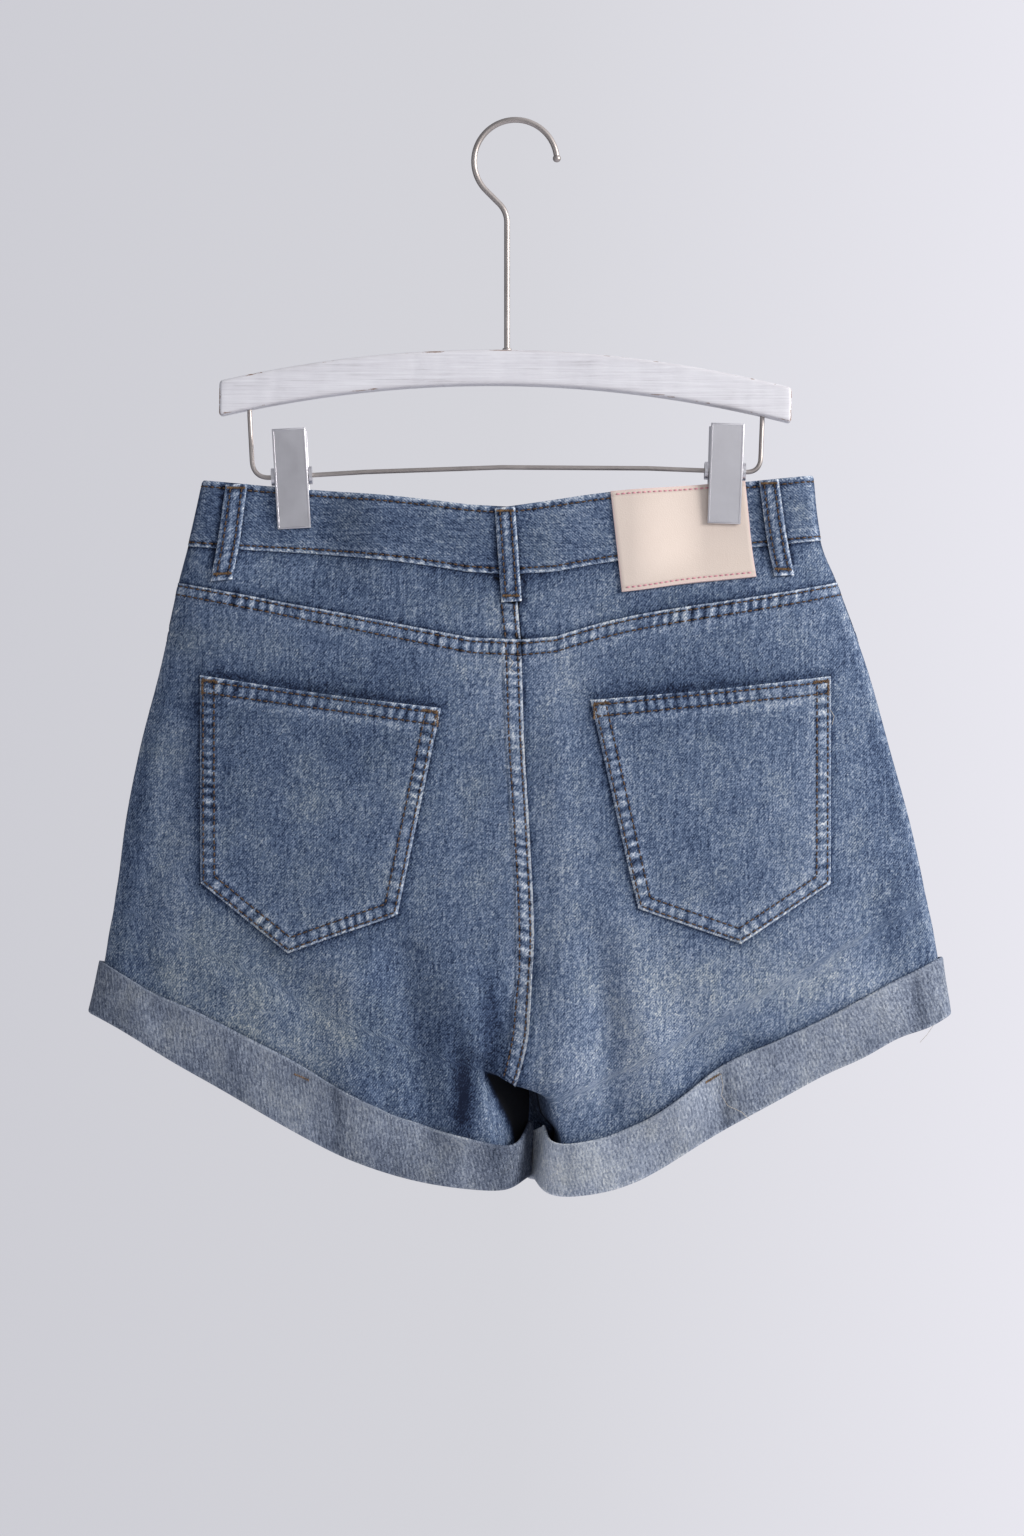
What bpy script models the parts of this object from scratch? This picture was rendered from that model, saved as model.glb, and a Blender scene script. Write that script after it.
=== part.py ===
"""Denim shorts hanging from a clip hanger.

All lengths in the tables are in millimetres. X runs across the shorts, Y from their back to their
front and Z up. The origin is where the hook rests on a rail. L and R are the wearer's left and right.

The cloth hangs flat, so each leg and the body above it is a tube of two faces, back and front, that
meet at the side fold and, below the crotch, at the inseam. A point of that tube has two coordinates:
q, from 0 at the side fold to 1 at the centre seam or the inseam, and t, the way down from the waist
seam. Every cloth piece is a wall between two offsets from this one surface.
"""
import math

import bmesh
import bpy
import numpy as np
from mathutils import Matrix, Vector

MM = 0.001
BACK = -1
FRONT = 1
OTHER_SIDE = {"L": "R", "R": "L"}

# ------------------------------------------------------------------ driving dimensions

WALL_IN = 1.4            # offsets of the plain denim wall from the garment surface
WALL_OUT = 2.6
BAND_IN = 0.6            # waistband, a doubled cloth
BAND_OUT = 3.0
CUFF_IN = 2.9            # rolled cuff, two more layers outside the leg
CUFF_OUT = 4.9
FELL = 0.8               # rise of a flat-felled seam
FELL_WIDTH = 9.5         # felled strip under the yoke
CENTRE_FELL_WIDTH = 12.0
SEAM_GAP = 0.3
LAY_GAP = 0.5            # between a panel and what is sewn on it
POCKET_GAP = 0.9         # between a panel and its pocket, which bridges the panel's folds

POCKET_WALL = 1.2
PATCH_WALL = 1.2
LOOP_WALL = 1.8
FLY_WALL = 1.0

MOUTH_SPAN = 0.5         # front pocket mouth, as a share of the front's width at the waist seam
MOUTH_DROP = 70.0        # and how far down the side seam it ends
FACING_SINK = 2.6        # how deep the pocket facing lies behind the front panel
FACING_UNDERLAP = 9.0
FACING_MARGIN = 7.0      # strip beside the side seam where the facing is level with the panel

CORNER_Q = 0.85          # q of the line where the back turns into the inner leg
INNER_SINK = 2.0         # how much nearer to the surface the walls of the inner leg lie
MITRE_LIMIT = 1.5        # how far a wall's offset may grow where the surface turns

# ------------------------------------------------------------------ sections of the garment

LEVELS = ("waist_top", "waist_seam", "yoke_seam", "hip", "seat", "low_seat", "thigh", "fold",
          "crotch", "arch", "under_arch", "leg", "cuff_top", "hem")
LEVEL_T = (-40.0, 0.0, 40.0, 97.0, 154.0, 211.0, 259.0, 293.0,
           299.0, 302.0, 305.0, 318.0, 343.0, 372.0)

CROTCH = LEVELS.index("crotch")
CROTCH_T = LEVEL_T[CROTCH]

# Side folds: x and z at each level.
SIDE_FOLD = {
    "L": ((-184.8, -215.4), (-193.8, -255.0), (-199.6, -277.2), (-211.0, -328.8),
          (-223.3, -376.8), (-232.0, -421.8), (-235.8, -451.8), (-238.0, -466.0),
          (-238.6, -470.5), (-239.0, -473.0), (-239.4, -475.5), (-241.3, -484.8),
          (-244.6, -504.0), (-251.9, -535.2)),
    "R": ((176.4, -212.4), (181.0, -251.6), (190.8, -277.2), (209.5, -328.8),
          (223.0, -376.8), (235.3, -421.8), (242.0, -451.8), (244.6, -465.0),
          (245.6, -469.0), (246.0, -471.5), (246.6, -474.0), (248.6, -483.0),
          (251.8, -501.6), (257.3, -530.4)),
}

# One row a level: the corner line that the inner leg turns at, the centre seam or inseam, how far
# the face stands out from the plane of the side folds, and how far its middle hangs below a
# straight line from the side fold to the corner.
FACE_COLUMNS = ("corner_x", "corner_z", "seam_x", "seam_y", "seam_z", "depth", "bow")
FACES = {
    (BACK, "L"): (
        (-27.0, -230.4, -4.8, -9.0, -231.6, 9.0, -1.0),
        (-29.4, -270.6, -4.2, -12.0, -272.4, 12.0, -2.5),
        (-25.8, -310.2, 3.3, -16.0, -311.4, 16.0, 0.0),
        (-25.2, -367.8, 5.4, -21.0, -370.8, 21.0, 1.0),
        (-24.0, -424.8, 9.0, -24.0, -430.8, 24.0, 2.5),
        (-22.8, -481.8, 11.4, -25.0, -490.8, 25.0, 4.0),
        (-22.2, -529.8, 8.4, -25.0, -544.8, 25.0, 6.0),
        (-21.0, -563.0, 0.6, -20.0, -576.0, 24.0, 7.5),
        (-20.8, -567.5, 9.0, 2.0, -576.0, 24.0, 8.0),
        (-20.6, -570.0, 6.1, 2.4, -577.2, 24.0, 8.0),
        (-20.3, -573.0, 5.0, 3.0, -580.2, 24.0, 8.5),
        (-18.6, -585.6, 4.8, 2.0, -591.6, 24.0, 9.0),
        (-13.2, -612.6, 4.0, 0.0, -610.0, 23.5, 11.0),
        (-8.0, -638.4, 4.4, 0.0, -633.0, 23.0, 19.0)),
    (BACK, "R"): (
        (24.6, -227.4, -4.8, -9.0, -231.6, 9.0, -1.5),
        (24.6, -270.6, -4.2, -12.0, -272.4, 12.0, -2.0),
        (24.6, -309.6, 3.3, -16.0, -311.4, 16.0, -3.5),
        (24.6, -367.8, 5.4, -21.0, -370.8, 21.0, -1.0),
        (24.3, -426.0, 9.0, -24.0, -430.8, 24.0, 0.0),
        (23.7, -484.8, 11.4, -25.0, -490.8, 25.0, 2.0),
        (23.1, -536.0, 8.4, -25.0, -544.8, 25.0, 4.0),
        (22.2, -582.0, 0.6, -20.0, -576.0, 24.0, 5.0),
        (21.9, -586.5, 9.0, 2.0, -576.0, 24.0, 5.0),
        (22.0, -588.0, 11.9, 2.4, -577.2, 24.0, 5.0),
        (22.3, -589.5, 13.0, 3.0, -580.2, 24.0, 5.5),
        (24.0, -596.0, 16.0, 3.0, -594.0, 24.0, 6.0),
        (28.5, -611.4, 24.0, 2.0, -606.0, 23.5, 10.0),
        (22.2, -642.0, 15.4, 0.0, -635.0, 23.0, 17.0)),
    (FRONT, "L"): (
        (-27.0, -245.0, -3.0, 11.0, -248.0, 11.0, 2.0),
        (-27.0, -285.0, -3.0, 13.0, -288.0, 13.0, 2.0),
        (-26.0, -320.0, -2.0, 16.0, -324.0, 16.0, 2.0),
        (-25.0, -374.0, 0.0, 20.0, -379.0, 20.0, 2.0),
        (-23.0, -429.0, 2.0, 22.0, -435.0, 22.0, 3.0),
        (-20.0, -484.0, 3.0, 23.0, -492.0, 23.0, 4.0),
        (-14.0, -531.0, 3.0, 23.0, -541.0, 23.0, 5.0),
        (-9.0, -562.0, 4.0, 19.0, -573.0, 22.0, 6.5),
        (-8.0, -567.0, 9.0, 2.0, -576.0, 22.0, 7.0),
        (-7.5, -570.0, 6.1, 2.4, -577.2, 22.0, 7.0),
        (-7.0, -573.0, 5.0, 3.0, -580.2, 22.0, 7.5),
        (-6.0, -586.0, 4.8, 2.0, -591.6, 22.0, 8.0),
        (-7.0, -611.0, 4.0, 0.0, -610.0, 21.5, 9.0),
        (-5.0, -635.0, 4.4, 0.0, -633.0, 21.0, 15.0)),
    (FRONT, "R"): (
        (21.0, -243.0, -3.0, 11.0, -248.0, 11.0, 2.0),
        (21.0, -284.0, -3.0, 13.0, -288.0, 13.0, 2.0),
        (21.0, -319.0, -2.0, 16.0, -324.0, 16.0, 2.0),
        (22.0, -373.0, 0.0, 20.0, -379.0, 20.0, 1.0),
        (22.0, -429.0, 2.0, 22.0, -435.0, 22.0, 2.0),
        (20.0, -486.0, 3.0, 23.0, -492.0, 23.0, 3.0),
        (15.0, -536.0, 3.0, 23.0, -541.0, 23.0, 4.0),
        (10.5, -568.0, 4.0, 19.0, -573.0, 22.0, 5.0),
        (8.0, -572.0, 9.0, 2.0, -576.0, 22.0, 5.0),
        (7.2, -575.0, 11.9, 2.4, -577.2, 22.0, 5.0),
        (6.2, -577.0, 13.0, 3.0, -580.2, 22.0, 5.5),
        (6.0, -588.0, 16.0, 3.0, -594.0, 22.0, 6.0),
        (6.5, -611.0, 24.0, 2.0, -606.0, 21.5, 9.0),
        (9.0, -636.0, 15.4, 0.0, -635.0, 21.0, 14.0)),
}

# The top row of each rolled cuff, which stands away from the leg at its inner end.
CUFF_TOP = {
    (BACK, "L"): (-3.0, -612.5, 4.5, 0.0, -599.0, 25.0, 11.0),
    (BACK, "R"): (25.0, -612.0, 22.0, -4.0, -602.5, 25.0, 10.0),
    (FRONT, "L"): (-6.0, -611.0, 4.5, 0.0, -599.0, 22.5, 9.0),
    (FRONT, "R"): (7.0, -611.0, 22.0, -4.0, -602.5, 22.5, 9.0),
}
BOW_SKEW = {"L": 1.5, "R": 2.0}

# Folds of the hanging cloth. Each runs from one point to another of its face, with its half width
# and its height, which is negative for a trough.
FOLD_COLUMNS = ("x0", "z0", "x1", "z1", "half_width", "height")
FOLDS = {
    BACK: (
        (-203.0, -330.0, -207.0, -440.0, 11.0, -1.6),
        (-222.0, -440.0, -224.0, -505.0, 10.0, -1.5),
        (-165.0, -482.0, -111.0, -530.0, 14.0, -1.8),
        (-97.0, -515.0, -94.0, -600.0, 16.0, 3.0),
        (-68.0, -500.0, -52.0, -605.0, 14.0, -4.0),
        (-32.0, -520.0, -23.0, -550.0, 12.0, 3.0),
        (4.0, -510.0, -24.0, -568.0, 12.0, -4.0),
        (28.0, -380.0, 30.0, -560.0, 14.0, 2.0),
        (52.0, -491.0, 54.0, -590.0, 13.0, -3.0),
        (56.0, -480.0, 92.0, -590.0, 16.0, 3.0),
        (215.0, -470.0, 222.0, -505.0, 12.0, -1.6)),
    FRONT: (
        (-30.0, -440.0, -120.0, -425.0, 14.0, 1.8),
        (-28.0, -470.0, -110.0, -470.0, 14.0, -1.8),
        (-60.0, -500.0, -70.0, -600.0, 16.0, 2.5),
        (28.0, -445.0, 118.0, -428.0, 14.0, 1.8),
        (30.0, -475.0, 112.0, -478.0, 14.0, -1.8),
        (64.0, -505.0, 78.0, -600.0, 16.0, 2.5)),
}

# The clips press both waistbands together at these x.
CLIP_X = {"L": -134.7, "R": 127.2}
PINCH_FLAT = 13.0        # half width that the jaws hold flat
PINCH_FADE = 58.0        # distance at which the cloth is full again
PINCH_TOP_T = -12.0
PINCH_END_T = 36.0

# Shares of the face's width at which a panel has a column of points, closer at the side fold.
WIDTH_SHARES = (0.0, 0.003, 0.014, 0.04, 0.08, 0.14, 0.21, 0.29, 0.37, 0.46, 0.55, 0.64, 0.73,
                0.82, 0.91, 0.97, 1.0)
LEG_ROWS = (97.0, 130.0, 165.0, 200.0, 232.0, 260.0, 280.0, 290.0, 296.0, 299.0, 302.0, 306.0,
            315.0, 329.0, 343.0, 357.0, 369.8)

# ------------------------------------------------------------------ pieces on the surface

# Outlines as x and z on their face. Pockets run top outer, top inner, low inner, point, low outer.
POCKETS = {
    "L": ((-187.2, -332.4), (-44.0, -352.2), (-69.6, -474.6), (-134.4, -497.4), (-186.6, -456.0)),
    "R": ((187.8, -333.0), (44.8, -347.4), (72.6, -471.0), (133.8, -492.0), (187.2, -456.6)),
}
PATCH = ((57.0, -222.6), (138.0, -215.4), (144.0, -274.8), (63.6, -283.2))
LOOP_COLUMNS = ("face", "top_x", "top_z", "foot_x", "foot_z", "width")
LOOPS = {
    "belt_loop_back_L": (BACK, -167.1, -217.8, -174.9, -276.0, 12.6),
    "belt_loop_back_centre": (BACK, -6.0, -232.4, -2.1, -288.9, 12.3),
    "belt_loop_back_R": (BACK, 152.4, -215.0, 160.5, -273.6, 11.7),
    "belt_loop_front_L": (FRONT, -78.0, -239.0, -82.0, -297.0, 12.4),
    "belt_loop_front_R": (FRONT, 74.0, -236.5, 79.0, -294.5, 12.4),
}
FLY_WIDTH = 36.0
FLY_END_T = 150.0
BUTTON_RADIUS = 8.5
BUTTON_INSET = 12.0

# ------------------------------------------------------------------ hanger

WIRE_R = 1.75            # hook wire
HOOK_R = 24.9            # centreline of the hook's round
HOOK_X = 0.3
STEM_X = -4.8
TIP_ANGLE = math.radians(4.0)
LEAVE_ANGLE = math.radians(225.0)
STEM_BEND_R = 16.0
BALL_R = 2.4
STEM_SINK = 14.0         # length of the stem inside the bar

BAR_LENGTH = 343.0
BAR_HEIGHT = 21.0
BAR_THICKNESS = 12.0
BAR_RISE = 20.7          # rise of its top edge in the middle
BAR_TOP_Z = -136.8
BAR_X = -5.4
BAR_TILT = math.radians(-0.7)
BAR_EDGE = 1.2

ROD_R = 1.4
# Route of the rod's wire: x, z and the radius of the bend there.
ROD_ROUTE = ((-159.4, -167.0, 0.0), (-159.4, -176.0, 20.0), (-157.4, -213.8, 11.0),
             (-90.0, -209.8, 60.0), (-8.0, -207.0, 60.0), (80.0, -207.6, 60.0),
             (147.2, -210.2, 9.0), (148.6, -176.0, 20.0), (148.6, -168.0, 0.0))
ROD_SINK = 9.0           # length of the rod's ends inside the bar
HOLE_GAP = 0.3

JAW_WIDTH = 20.0
JAW_HEIGHT = 60.0
JAW_WALL = 1.4
NEAR_EAR_R = 3.6
NEAR_EAR_WALL = 1.2
FAR_EAR_R = 5.4
FAR_EAR_WALL = 2.0
CLIP_HOLE_GAP = 0.5
BARREL_R = 3.2
BARREL_LENGTH = 11.0
# Each clip: x and z of the middle of its jaws, its turn about Y, z of the rod there, and how much
# cloth lies between the jaws on the near side and on the far side.
CLIPS = {
    "L": (-134.0, -214.3, math.radians(-3.1), -212.4, 3.1, 3.1),
    "R": (126.2, -211.5, math.radians(2.0), -209.4, 5.0, 3.1),
}
JAW_SPREAD = 5.5         # how much further apart a jaw is at its top than at its grip

# ------------------------------------------------------------------ the garment surface


def smooth(value, low, high):
    """A soft step from 0 at low to 1 at high."""
    share = np.clip((value - low) / (high - low), 0.0, 1.0)
    return share * share * (3.0 - 2.0 * share)


def read_levels(rows, t):
    """The rows of a level table read at t, by a cubic that never overshoots."""
    levels = np.array(LEVEL_T)
    values = np.array(rows, dtype=float)
    steps = np.diff(levels)[:, None]
    rises = np.diff(values, axis=0) / steps
    slopes = np.zeros_like(values)
    slopes[0] = rises[0]
    slopes[-1] = rises[-1]
    above = rises[:-1]
    below = rises[1:]
    same_way = above * below > 0.0
    mean = 2.0 * above * below / np.where(same_way, above + below, 1.0)
    slopes[1:-1] = np.where(same_way, mean, 0.0)
    # The seam turns sharply at the crotch, so the curve above it doesn't depend on the one below.
    slopes_above = slopes.copy()
    slopes_above[CROTCH] = rises[CROTCH - 1]
    slopes[CROTCH] = rises[CROTCH]
    i = np.clip(np.searchsorted(levels, t) - 1, 0, len(levels) - 2)
    step = steps[i]
    u = ((t - levels[i]) / step[..., 0])[..., None]
    return (values[i] * (1 + 2 * u) * (1 - u) ** 2 + slopes[i] * step * u * (1 - u) ** 2
            + values[i + 1] * u * u * (3 - 2 * u)
            + slopes_above[i + 1] * step * u * u * (u - 1))


def fold_height(face, x, z):
    """Sum of the folds of one face at x and z."""
    total = np.zeros_like(x)
    for x0, z0, x1, z1, half_width, height in FOLDS[face]:
        along_x = x1 - x0
        along_z = z1 - z0
        share = ((x - x0) * along_x + (z - z0) * along_z) / (along_x ** 2 + along_z ** 2)
        share = np.clip(share, 0.0, 1.0)
        apart = np.hypot(x - x0 - share * along_x, z - z0 - share * along_z)
        total += height * np.exp(-(apart / half_width) ** 2)
    return total


def section_point(face, side, row, fold_side, q, t):
    """A point of one face, from the row of its section and the side fold there."""
    corner_x, corner_z, seam_x, seam_y, seam_z, depth, bow = np.moveaxis(row, -1, 0)
    side_x, side_z = np.moveaxis(fold_side, -1, 0)
    angle = np.clip(q / CORNER_Q, 0.0, 1.0) * math.pi / 2
    inner = np.clip((q - CORNER_Q) / (1.0 - CORNER_Q), 0.0, 1.0)
    share = 1.0 - np.cos(angle)
    x = side_x + (corner_x - side_x) * share + (seam_x - corner_x) * inner
    z = side_z + (corner_z - side_z) * share + (seam_z - corner_z) * inner
    z = z - bow * np.sin(math.pi * share ** BOW_SKEW[side])
    y = face * depth * np.sin(angle) + (seam_y - face * depth) * inner
    below_seat = smooth(t, 268.0, 292.0)
    spare = smooth(q, 0.08, 0.3) * (1.0 - below_seat * smooth(inner, 0.1, 0.9))
    y = y + face * fold_height(face, x, z) * spare
    for clip_x in CLIP_X.values():
        across = 1.0 - smooth(np.abs(x - clip_x), PINCH_FLAT, PINCH_FADE)
        pinch = across * (1.0 - smooth(t, PINCH_TOP_T, PINCH_END_T))
        y = y * (1.0 - pinch) + face * 0.1 * pinch
    return np.stack([x, y, z], axis=-1)


def body_point(face, side, q, t):
    row = read_levels(FACES[face, side], t)
    return section_point(face, side, row, read_levels(SIDE_FOLD[side], t), q, t)


def cuff_point(face, side, q, t):
    """The cuff runs straight from its own top row to the leg's hem."""
    down = (t - LEVEL_T[-2]) / (LEVEL_T[-1] - LEVEL_T[-2])
    down = down[..., None]
    row = np.array(CUFF_TOP[face, side]) * (1 - down) + np.array(FACES[face, side][-1]) * down
    fold_side = (np.array(SIDE_FOLD[side][-2]) * (1 - down)
                 + np.array(SIDE_FOLD[side][-1]) * down)
    return section_point(face, side, row, fold_side, q, t)


def wrapped(point, face, side, q, t):
    """The point for any q: past the side fold or the inseam lies the other face, and past the
    centre seam the other side."""
    result = point(face, side, np.clip(q, 0.0, 1.0), t)
    past_fold = q < 0.0
    past_centre = (q > 1.0) & (t <= CROTCH_T)
    past_inseam = (q > 1.0) & (t > CROTCH_T)
    for mask, other_face, other_side in ((past_fold, -face, side),
                                         (past_centre, face, OTHER_SIDE[side]),
                                         (past_inseam, -face, side)):
        if mask.any():
            other_q = np.where(q < 0.0, -q, 2.0 - q)[mask]
            result[mask] = point(other_face, other_side, other_q, t[mask])
    return result


def placed(point, face, side, q, t, offset):
    """Points at an offset, outwards, from the surface."""
    q, t, offset = np.broadcast_arrays(*(np.asarray(v, dtype=float) for v in (q, t, offset)))
    dq = 0.004
    dt = 0.8
    low_t = np.where(t > CROTCH_T, np.maximum(t - dt, CROTCH_T), t - dt)
    high_t = np.where(t > CROTCH_T, t + dt, np.minimum(t + dt, CROTCH_T))
    here = wrapped(point, face, side, q, t)
    ahead = wrapped(point, face, side, q + dq, t) - here
    behind = here - wrapped(point, face, side, q - dq, t)
    across = (ahead / np.linalg.norm(ahead, axis=-1)[..., None]
              + behind / np.linalg.norm(behind, axis=-1)[..., None])
    mitre = np.minimum(2.0 / np.linalg.norm(across, axis=-1), MITRE_LIMIT)
    down = wrapped(point, face, side, q, high_t) - wrapped(point, face, side, q, low_t)
    normal = np.cross(across, down) * face * (1 if side == "L" else -1)
    normal /= np.linalg.norm(normal, axis=-1)[..., None]
    # The four panels meet at the crotch point, so they share one normal there.
    at_crotch = (smooth(q, 0.93, 1.0) * (1.0 - smooth(np.abs(t - CROTCH_T), 0.0, 4.0)))[..., None]
    normal = normal * (1.0 - at_crotch) + np.array((0.0, 0.0, -1.0)) * at_crotch
    normal /= np.linalg.norm(normal, axis=-1)[..., None]
    if point is body_point:
        offset = offset - INNER_SINK * smooth(q, 0.76, 0.88) * smooth(t, 283.0, 295.0)
    return here + normal * (offset * mitre)[..., None]


def q_of_share(share):
    """q at a share of the face's width, from the side fold to the corner line."""
    return CORNER_Q * np.arccos(1.0 - np.asarray(share)) / (math.pi / 2)


def inner_length(face, side, t):
    """Distance from the corner line to the centre seam or the inseam."""
    t = np.asarray(t, dtype=float)
    corner = body_point(face, side, np.full_like(t, CORNER_Q), t)
    return np.linalg.norm(body_point(face, side, np.ones_like(t), t) - corner, axis=-1)


def q_from_seam(face, side, t, distance):
    """q at a distance from the centre seam or the inseam."""
    return 1.0 - (1.0 - CORNER_Q) * np.minimum(distance / inner_length(face, side, t), 1.0)


def located(face, x, z):
    """Side, q and t of the points of one face that have the given x and z."""
    x, z = np.broadcast_arrays(np.asarray(x, dtype=float), np.asarray(z, dtype=float))
    seam = np.array(FACES[face, "L"])[:8]
    seam_x = np.interp(-z, -seam[:, 4], seam[:, 2])
    found = {}
    for side in ("L", "R"):
        t = np.interp(-z, -np.array(FACES[face, side])[:, 1], LEVEL_T)
        q = np.full_like(x, 0.6)
        for _ in range(25):
            here = body_point(face, side, q, t)
            dq = 0.002
            dt = 0.5
            by_q = (body_point(face, side, q + dq, t) - here) / dq
            by_t = (body_point(face, side, q, t + dt) - here) / dt
            miss_x = x - here[..., 0]
            miss_z = z - here[..., 2]
            scale = by_q[..., 0] * by_t[..., 2] - by_q[..., 2] * by_t[..., 0]
            step_q = (miss_x * by_t[..., 2] - miss_z * by_t[..., 0]) / scale
            step_t = (by_q[..., 0] * miss_z - by_q[..., 2] * miss_x) / scale
            q = np.clip(q + np.clip(step_q, -0.15, 0.15), 0.02, 0.997)
            t = np.clip(t + np.clip(step_t, -30.0, 30.0), -46.0, 371.0)
        found[side] = (q, t)
    return x < seam_x, found


def laid(face, x, z, offset):
    """Points at an offset from one face, above the given x and z."""
    on_left, found = located(face, x, z)
    offset = np.broadcast_to(np.asarray(offset, dtype=float), on_left.shape)
    left = placed(body_point, face, "L", *found["L"], offset)
    right = placed(body_point, face, "R", *found["R"], offset)
    return np.where(on_left[..., None], left, right)


# ------------------------------------------------------------------ mesh making


def make_collection(name):
    collection = bpy.data.collections.new(name)
    bpy.context.scene.collection.children.link(collection)
    return collection


def make_material(name, color, roughness, metallic=0.0):
    material = bpy.data.materials.new(name)
    material.use_nodes = True
    shader = material.node_tree.nodes["Principled BSDF"]
    shader.inputs["Base Color"].default_value = (*color, 1.0)
    shader.inputs["Roughness"].default_value = roughness
    shader.inputs["Metallic"].default_value = metallic
    return material


def add_object(name, data, material, collection):
    item = bpy.data.objects.new(name, data)
    data.materials.append(material)
    collection.objects.link(item)
    return item


def finish_mesh(name, bm, material, collection, sharp_degrees=40.0):
    bmesh.ops.recalc_face_normals(bm, faces=bm.faces)
    mesh = bpy.data.meshes.new(name)
    bm.to_mesh(mesh)
    bm.free()
    item = add_object(name, mesh, material, collection)
    mesh.shade_smooth()
    mesh.set_sharp_from_angle(angle=math.radians(sharp_degrees))
    return item


def pull_back(points, edges):
    """Moves the named edges of a grid of points inwards, by half of the gap at a seam."""
    points = points.copy()
    for edge in edges:
        border, inside = {"top": (np.s_[0], np.s_[1]), "foot": (np.s_[-1], np.s_[-2]),
                          "start": (np.s_[:, 0], np.s_[:, 1]),
                          "end": (np.s_[:, -1], np.s_[:, -2])}[edge]
        way = points[inside] - points[border]
        way /= np.linalg.norm(way, axis=-1)[..., None]
        points[border] += way * SEAM_GAP / 2
    return points


def add_wall(name, outer, inner, seams, material, collection):
    """A wall of cloth lofted between two grids of points."""
    bm = bmesh.new()
    layers = []
    for points in (pull_back(outer, seams), pull_back(inner, seams)):
        layers.append([[bm.verts.new(Vector(p) * MM) for p in row] for row in points])
    rows = len(layers[0])
    columns = len(layers[0][0])
    for layer in layers:
        for r in range(rows - 1):
            for c in range(columns - 1):
                a, b = layer[r][c], layer[r][c + 1]
                d, e = layer[r + 1][c], layer[r + 1][c + 1]
                bm.faces.new((a, b, e, d) if layer is layers[0] else (a, d, e, b))
    top = [(0, c) for c in range(columns)]
    end = [(r, columns - 1) for r in range(1, rows)]
    foot = [(rows - 1, c) for c in range(columns - 2, -1, -1)]
    start = [(r, 0) for r in range(rows - 2, 0, -1)]
    border = top + end + foot + start
    for (r0, c0), (r1, c1) in zip(border, border[1:] + border[:1]):
        bm.faces.new((layers[0][r1][c1], layers[0][r0][c0], layers[1][r0][c0], layers[1][r1][c1]))
    return finish_mesh(name, bm, material, collection)


def add_loft(name, sections, cap, material, collection):
    """A solid lofted through closed sections, with its two ends capped by the same triangles."""
    bm = bmesh.new()
    rings = [[bm.verts.new(Vector(p) * MM) for p in section] for section in sections]
    count = len(rings[0])
    for ring, following in zip(rings, rings[1:]):
        for k in range(count):
            nxt = (k + 1) % count
            bm.faces.new((following[k], ring[k], ring[nxt], following[nxt]))
    for a, b, c in cap:
        bm.faces.new((rings[0][c], rings[0][b], rings[0][a]))
        bm.faces.new((rings[-1][a], rings[-1][b], rings[-1][c]))
    return finish_mesh(name, bm, material, collection)


# ------------------------------------------------------------------ cloth pieces


def panel_columns(face, side, rows, felled):
    """q of each point of a panel: columns by share of the width, then those of the inner leg."""
    rows = np.asarray(rows, dtype=float)
    outer = [np.full_like(rows, q) for q in q_of_share(WIDTH_SHARES)]
    if felled:
        near = q_from_seam(face, side, rows, CENTRE_FELL_WIDTH + 0.8)
        inner = [(CORNER_Q + near) / 2, near, q_from_seam(face, side, rows, CENTRE_FELL_WIDTH)]
    else:
        inner = [np.full_like(rows, CORNER_Q + (1.0 - CORNER_Q) * share) for share in (0.35, 0.7)]
    return np.stack(outer + inner + [np.ones_like(rows)], axis=1)


def add_back_panel(side, denim, collection):
    rows = np.array((40.0, 40.0 + FELL_WIDTH, 40.8 + FELL_WIDTH, 72.0) + LEG_ROWS)
    felled = side == "L"
    q = panel_columns(BACK, side, rows, felled)
    t = np.broadcast_to(rows[:, None], q.shape)
    raised = t < 40.4 + FELL_WIDTH
    if felled:
        at_centre = np.zeros_like(raised)
        at_centre[:, -2:] = True
        raised = raised | (at_centre & (t < 294.0))
    outer = placed(body_point, BACK, side, q, t, WALL_OUT + FELL * raised)
    inner = placed(body_point, BACK, side, q, t, WALL_IN)
    add_wall("back_panel_" + side, outer, inner, ("top", "start", "end"), denim, collection)


def add_yoke(side, columns, denim, collection):
    rows = np.array((0.0, 12.0, 26.0, 40.0))
    q, t = np.meshgrid(columns, rows)
    outer = placed(body_point, BACK, side, q, t, WALL_OUT)
    inner = placed(body_point, BACK, side, q, t, WALL_IN)
    add_wall("yoke_" + side, outer, inner, ("top", "foot", "start", "end"), denim, collection)


def mouth_t(share):
    """t of the front pocket's mouth at a share of the front's width."""
    inside = np.clip(1.0 - (np.asarray(share) / MOUTH_SPAN) ** 2, 0.0, 1.0)
    return MOUTH_DROP * np.sqrt(inside)


def add_front_panel(side, denim, collection):
    rows = np.array((0.0, 14.0, 28.0, 44.0, 62.0, 80.0) + LEG_ROWS)
    q = panel_columns(FRONT, side, rows, False)
    share = 1.0 - np.cos(np.clip(q / CORNER_Q, 0.0, 1.0) * math.pi / 2)
    mouth = mouth_t(share)
    base = np.broadcast_to(rows[:, None], q.shape)
    end = LEG_ROWS[0]
    t = np.where(base < end, mouth + (end - mouth) * base / end, base)
    outer = placed(body_point, FRONT, side, q, t, WALL_OUT)
    inner = placed(body_point, FRONT, side, q, t, WALL_IN)
    add_wall("front_panel_" + side, outer, inner, ("top", "start", "end"), denim, collection)


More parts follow.
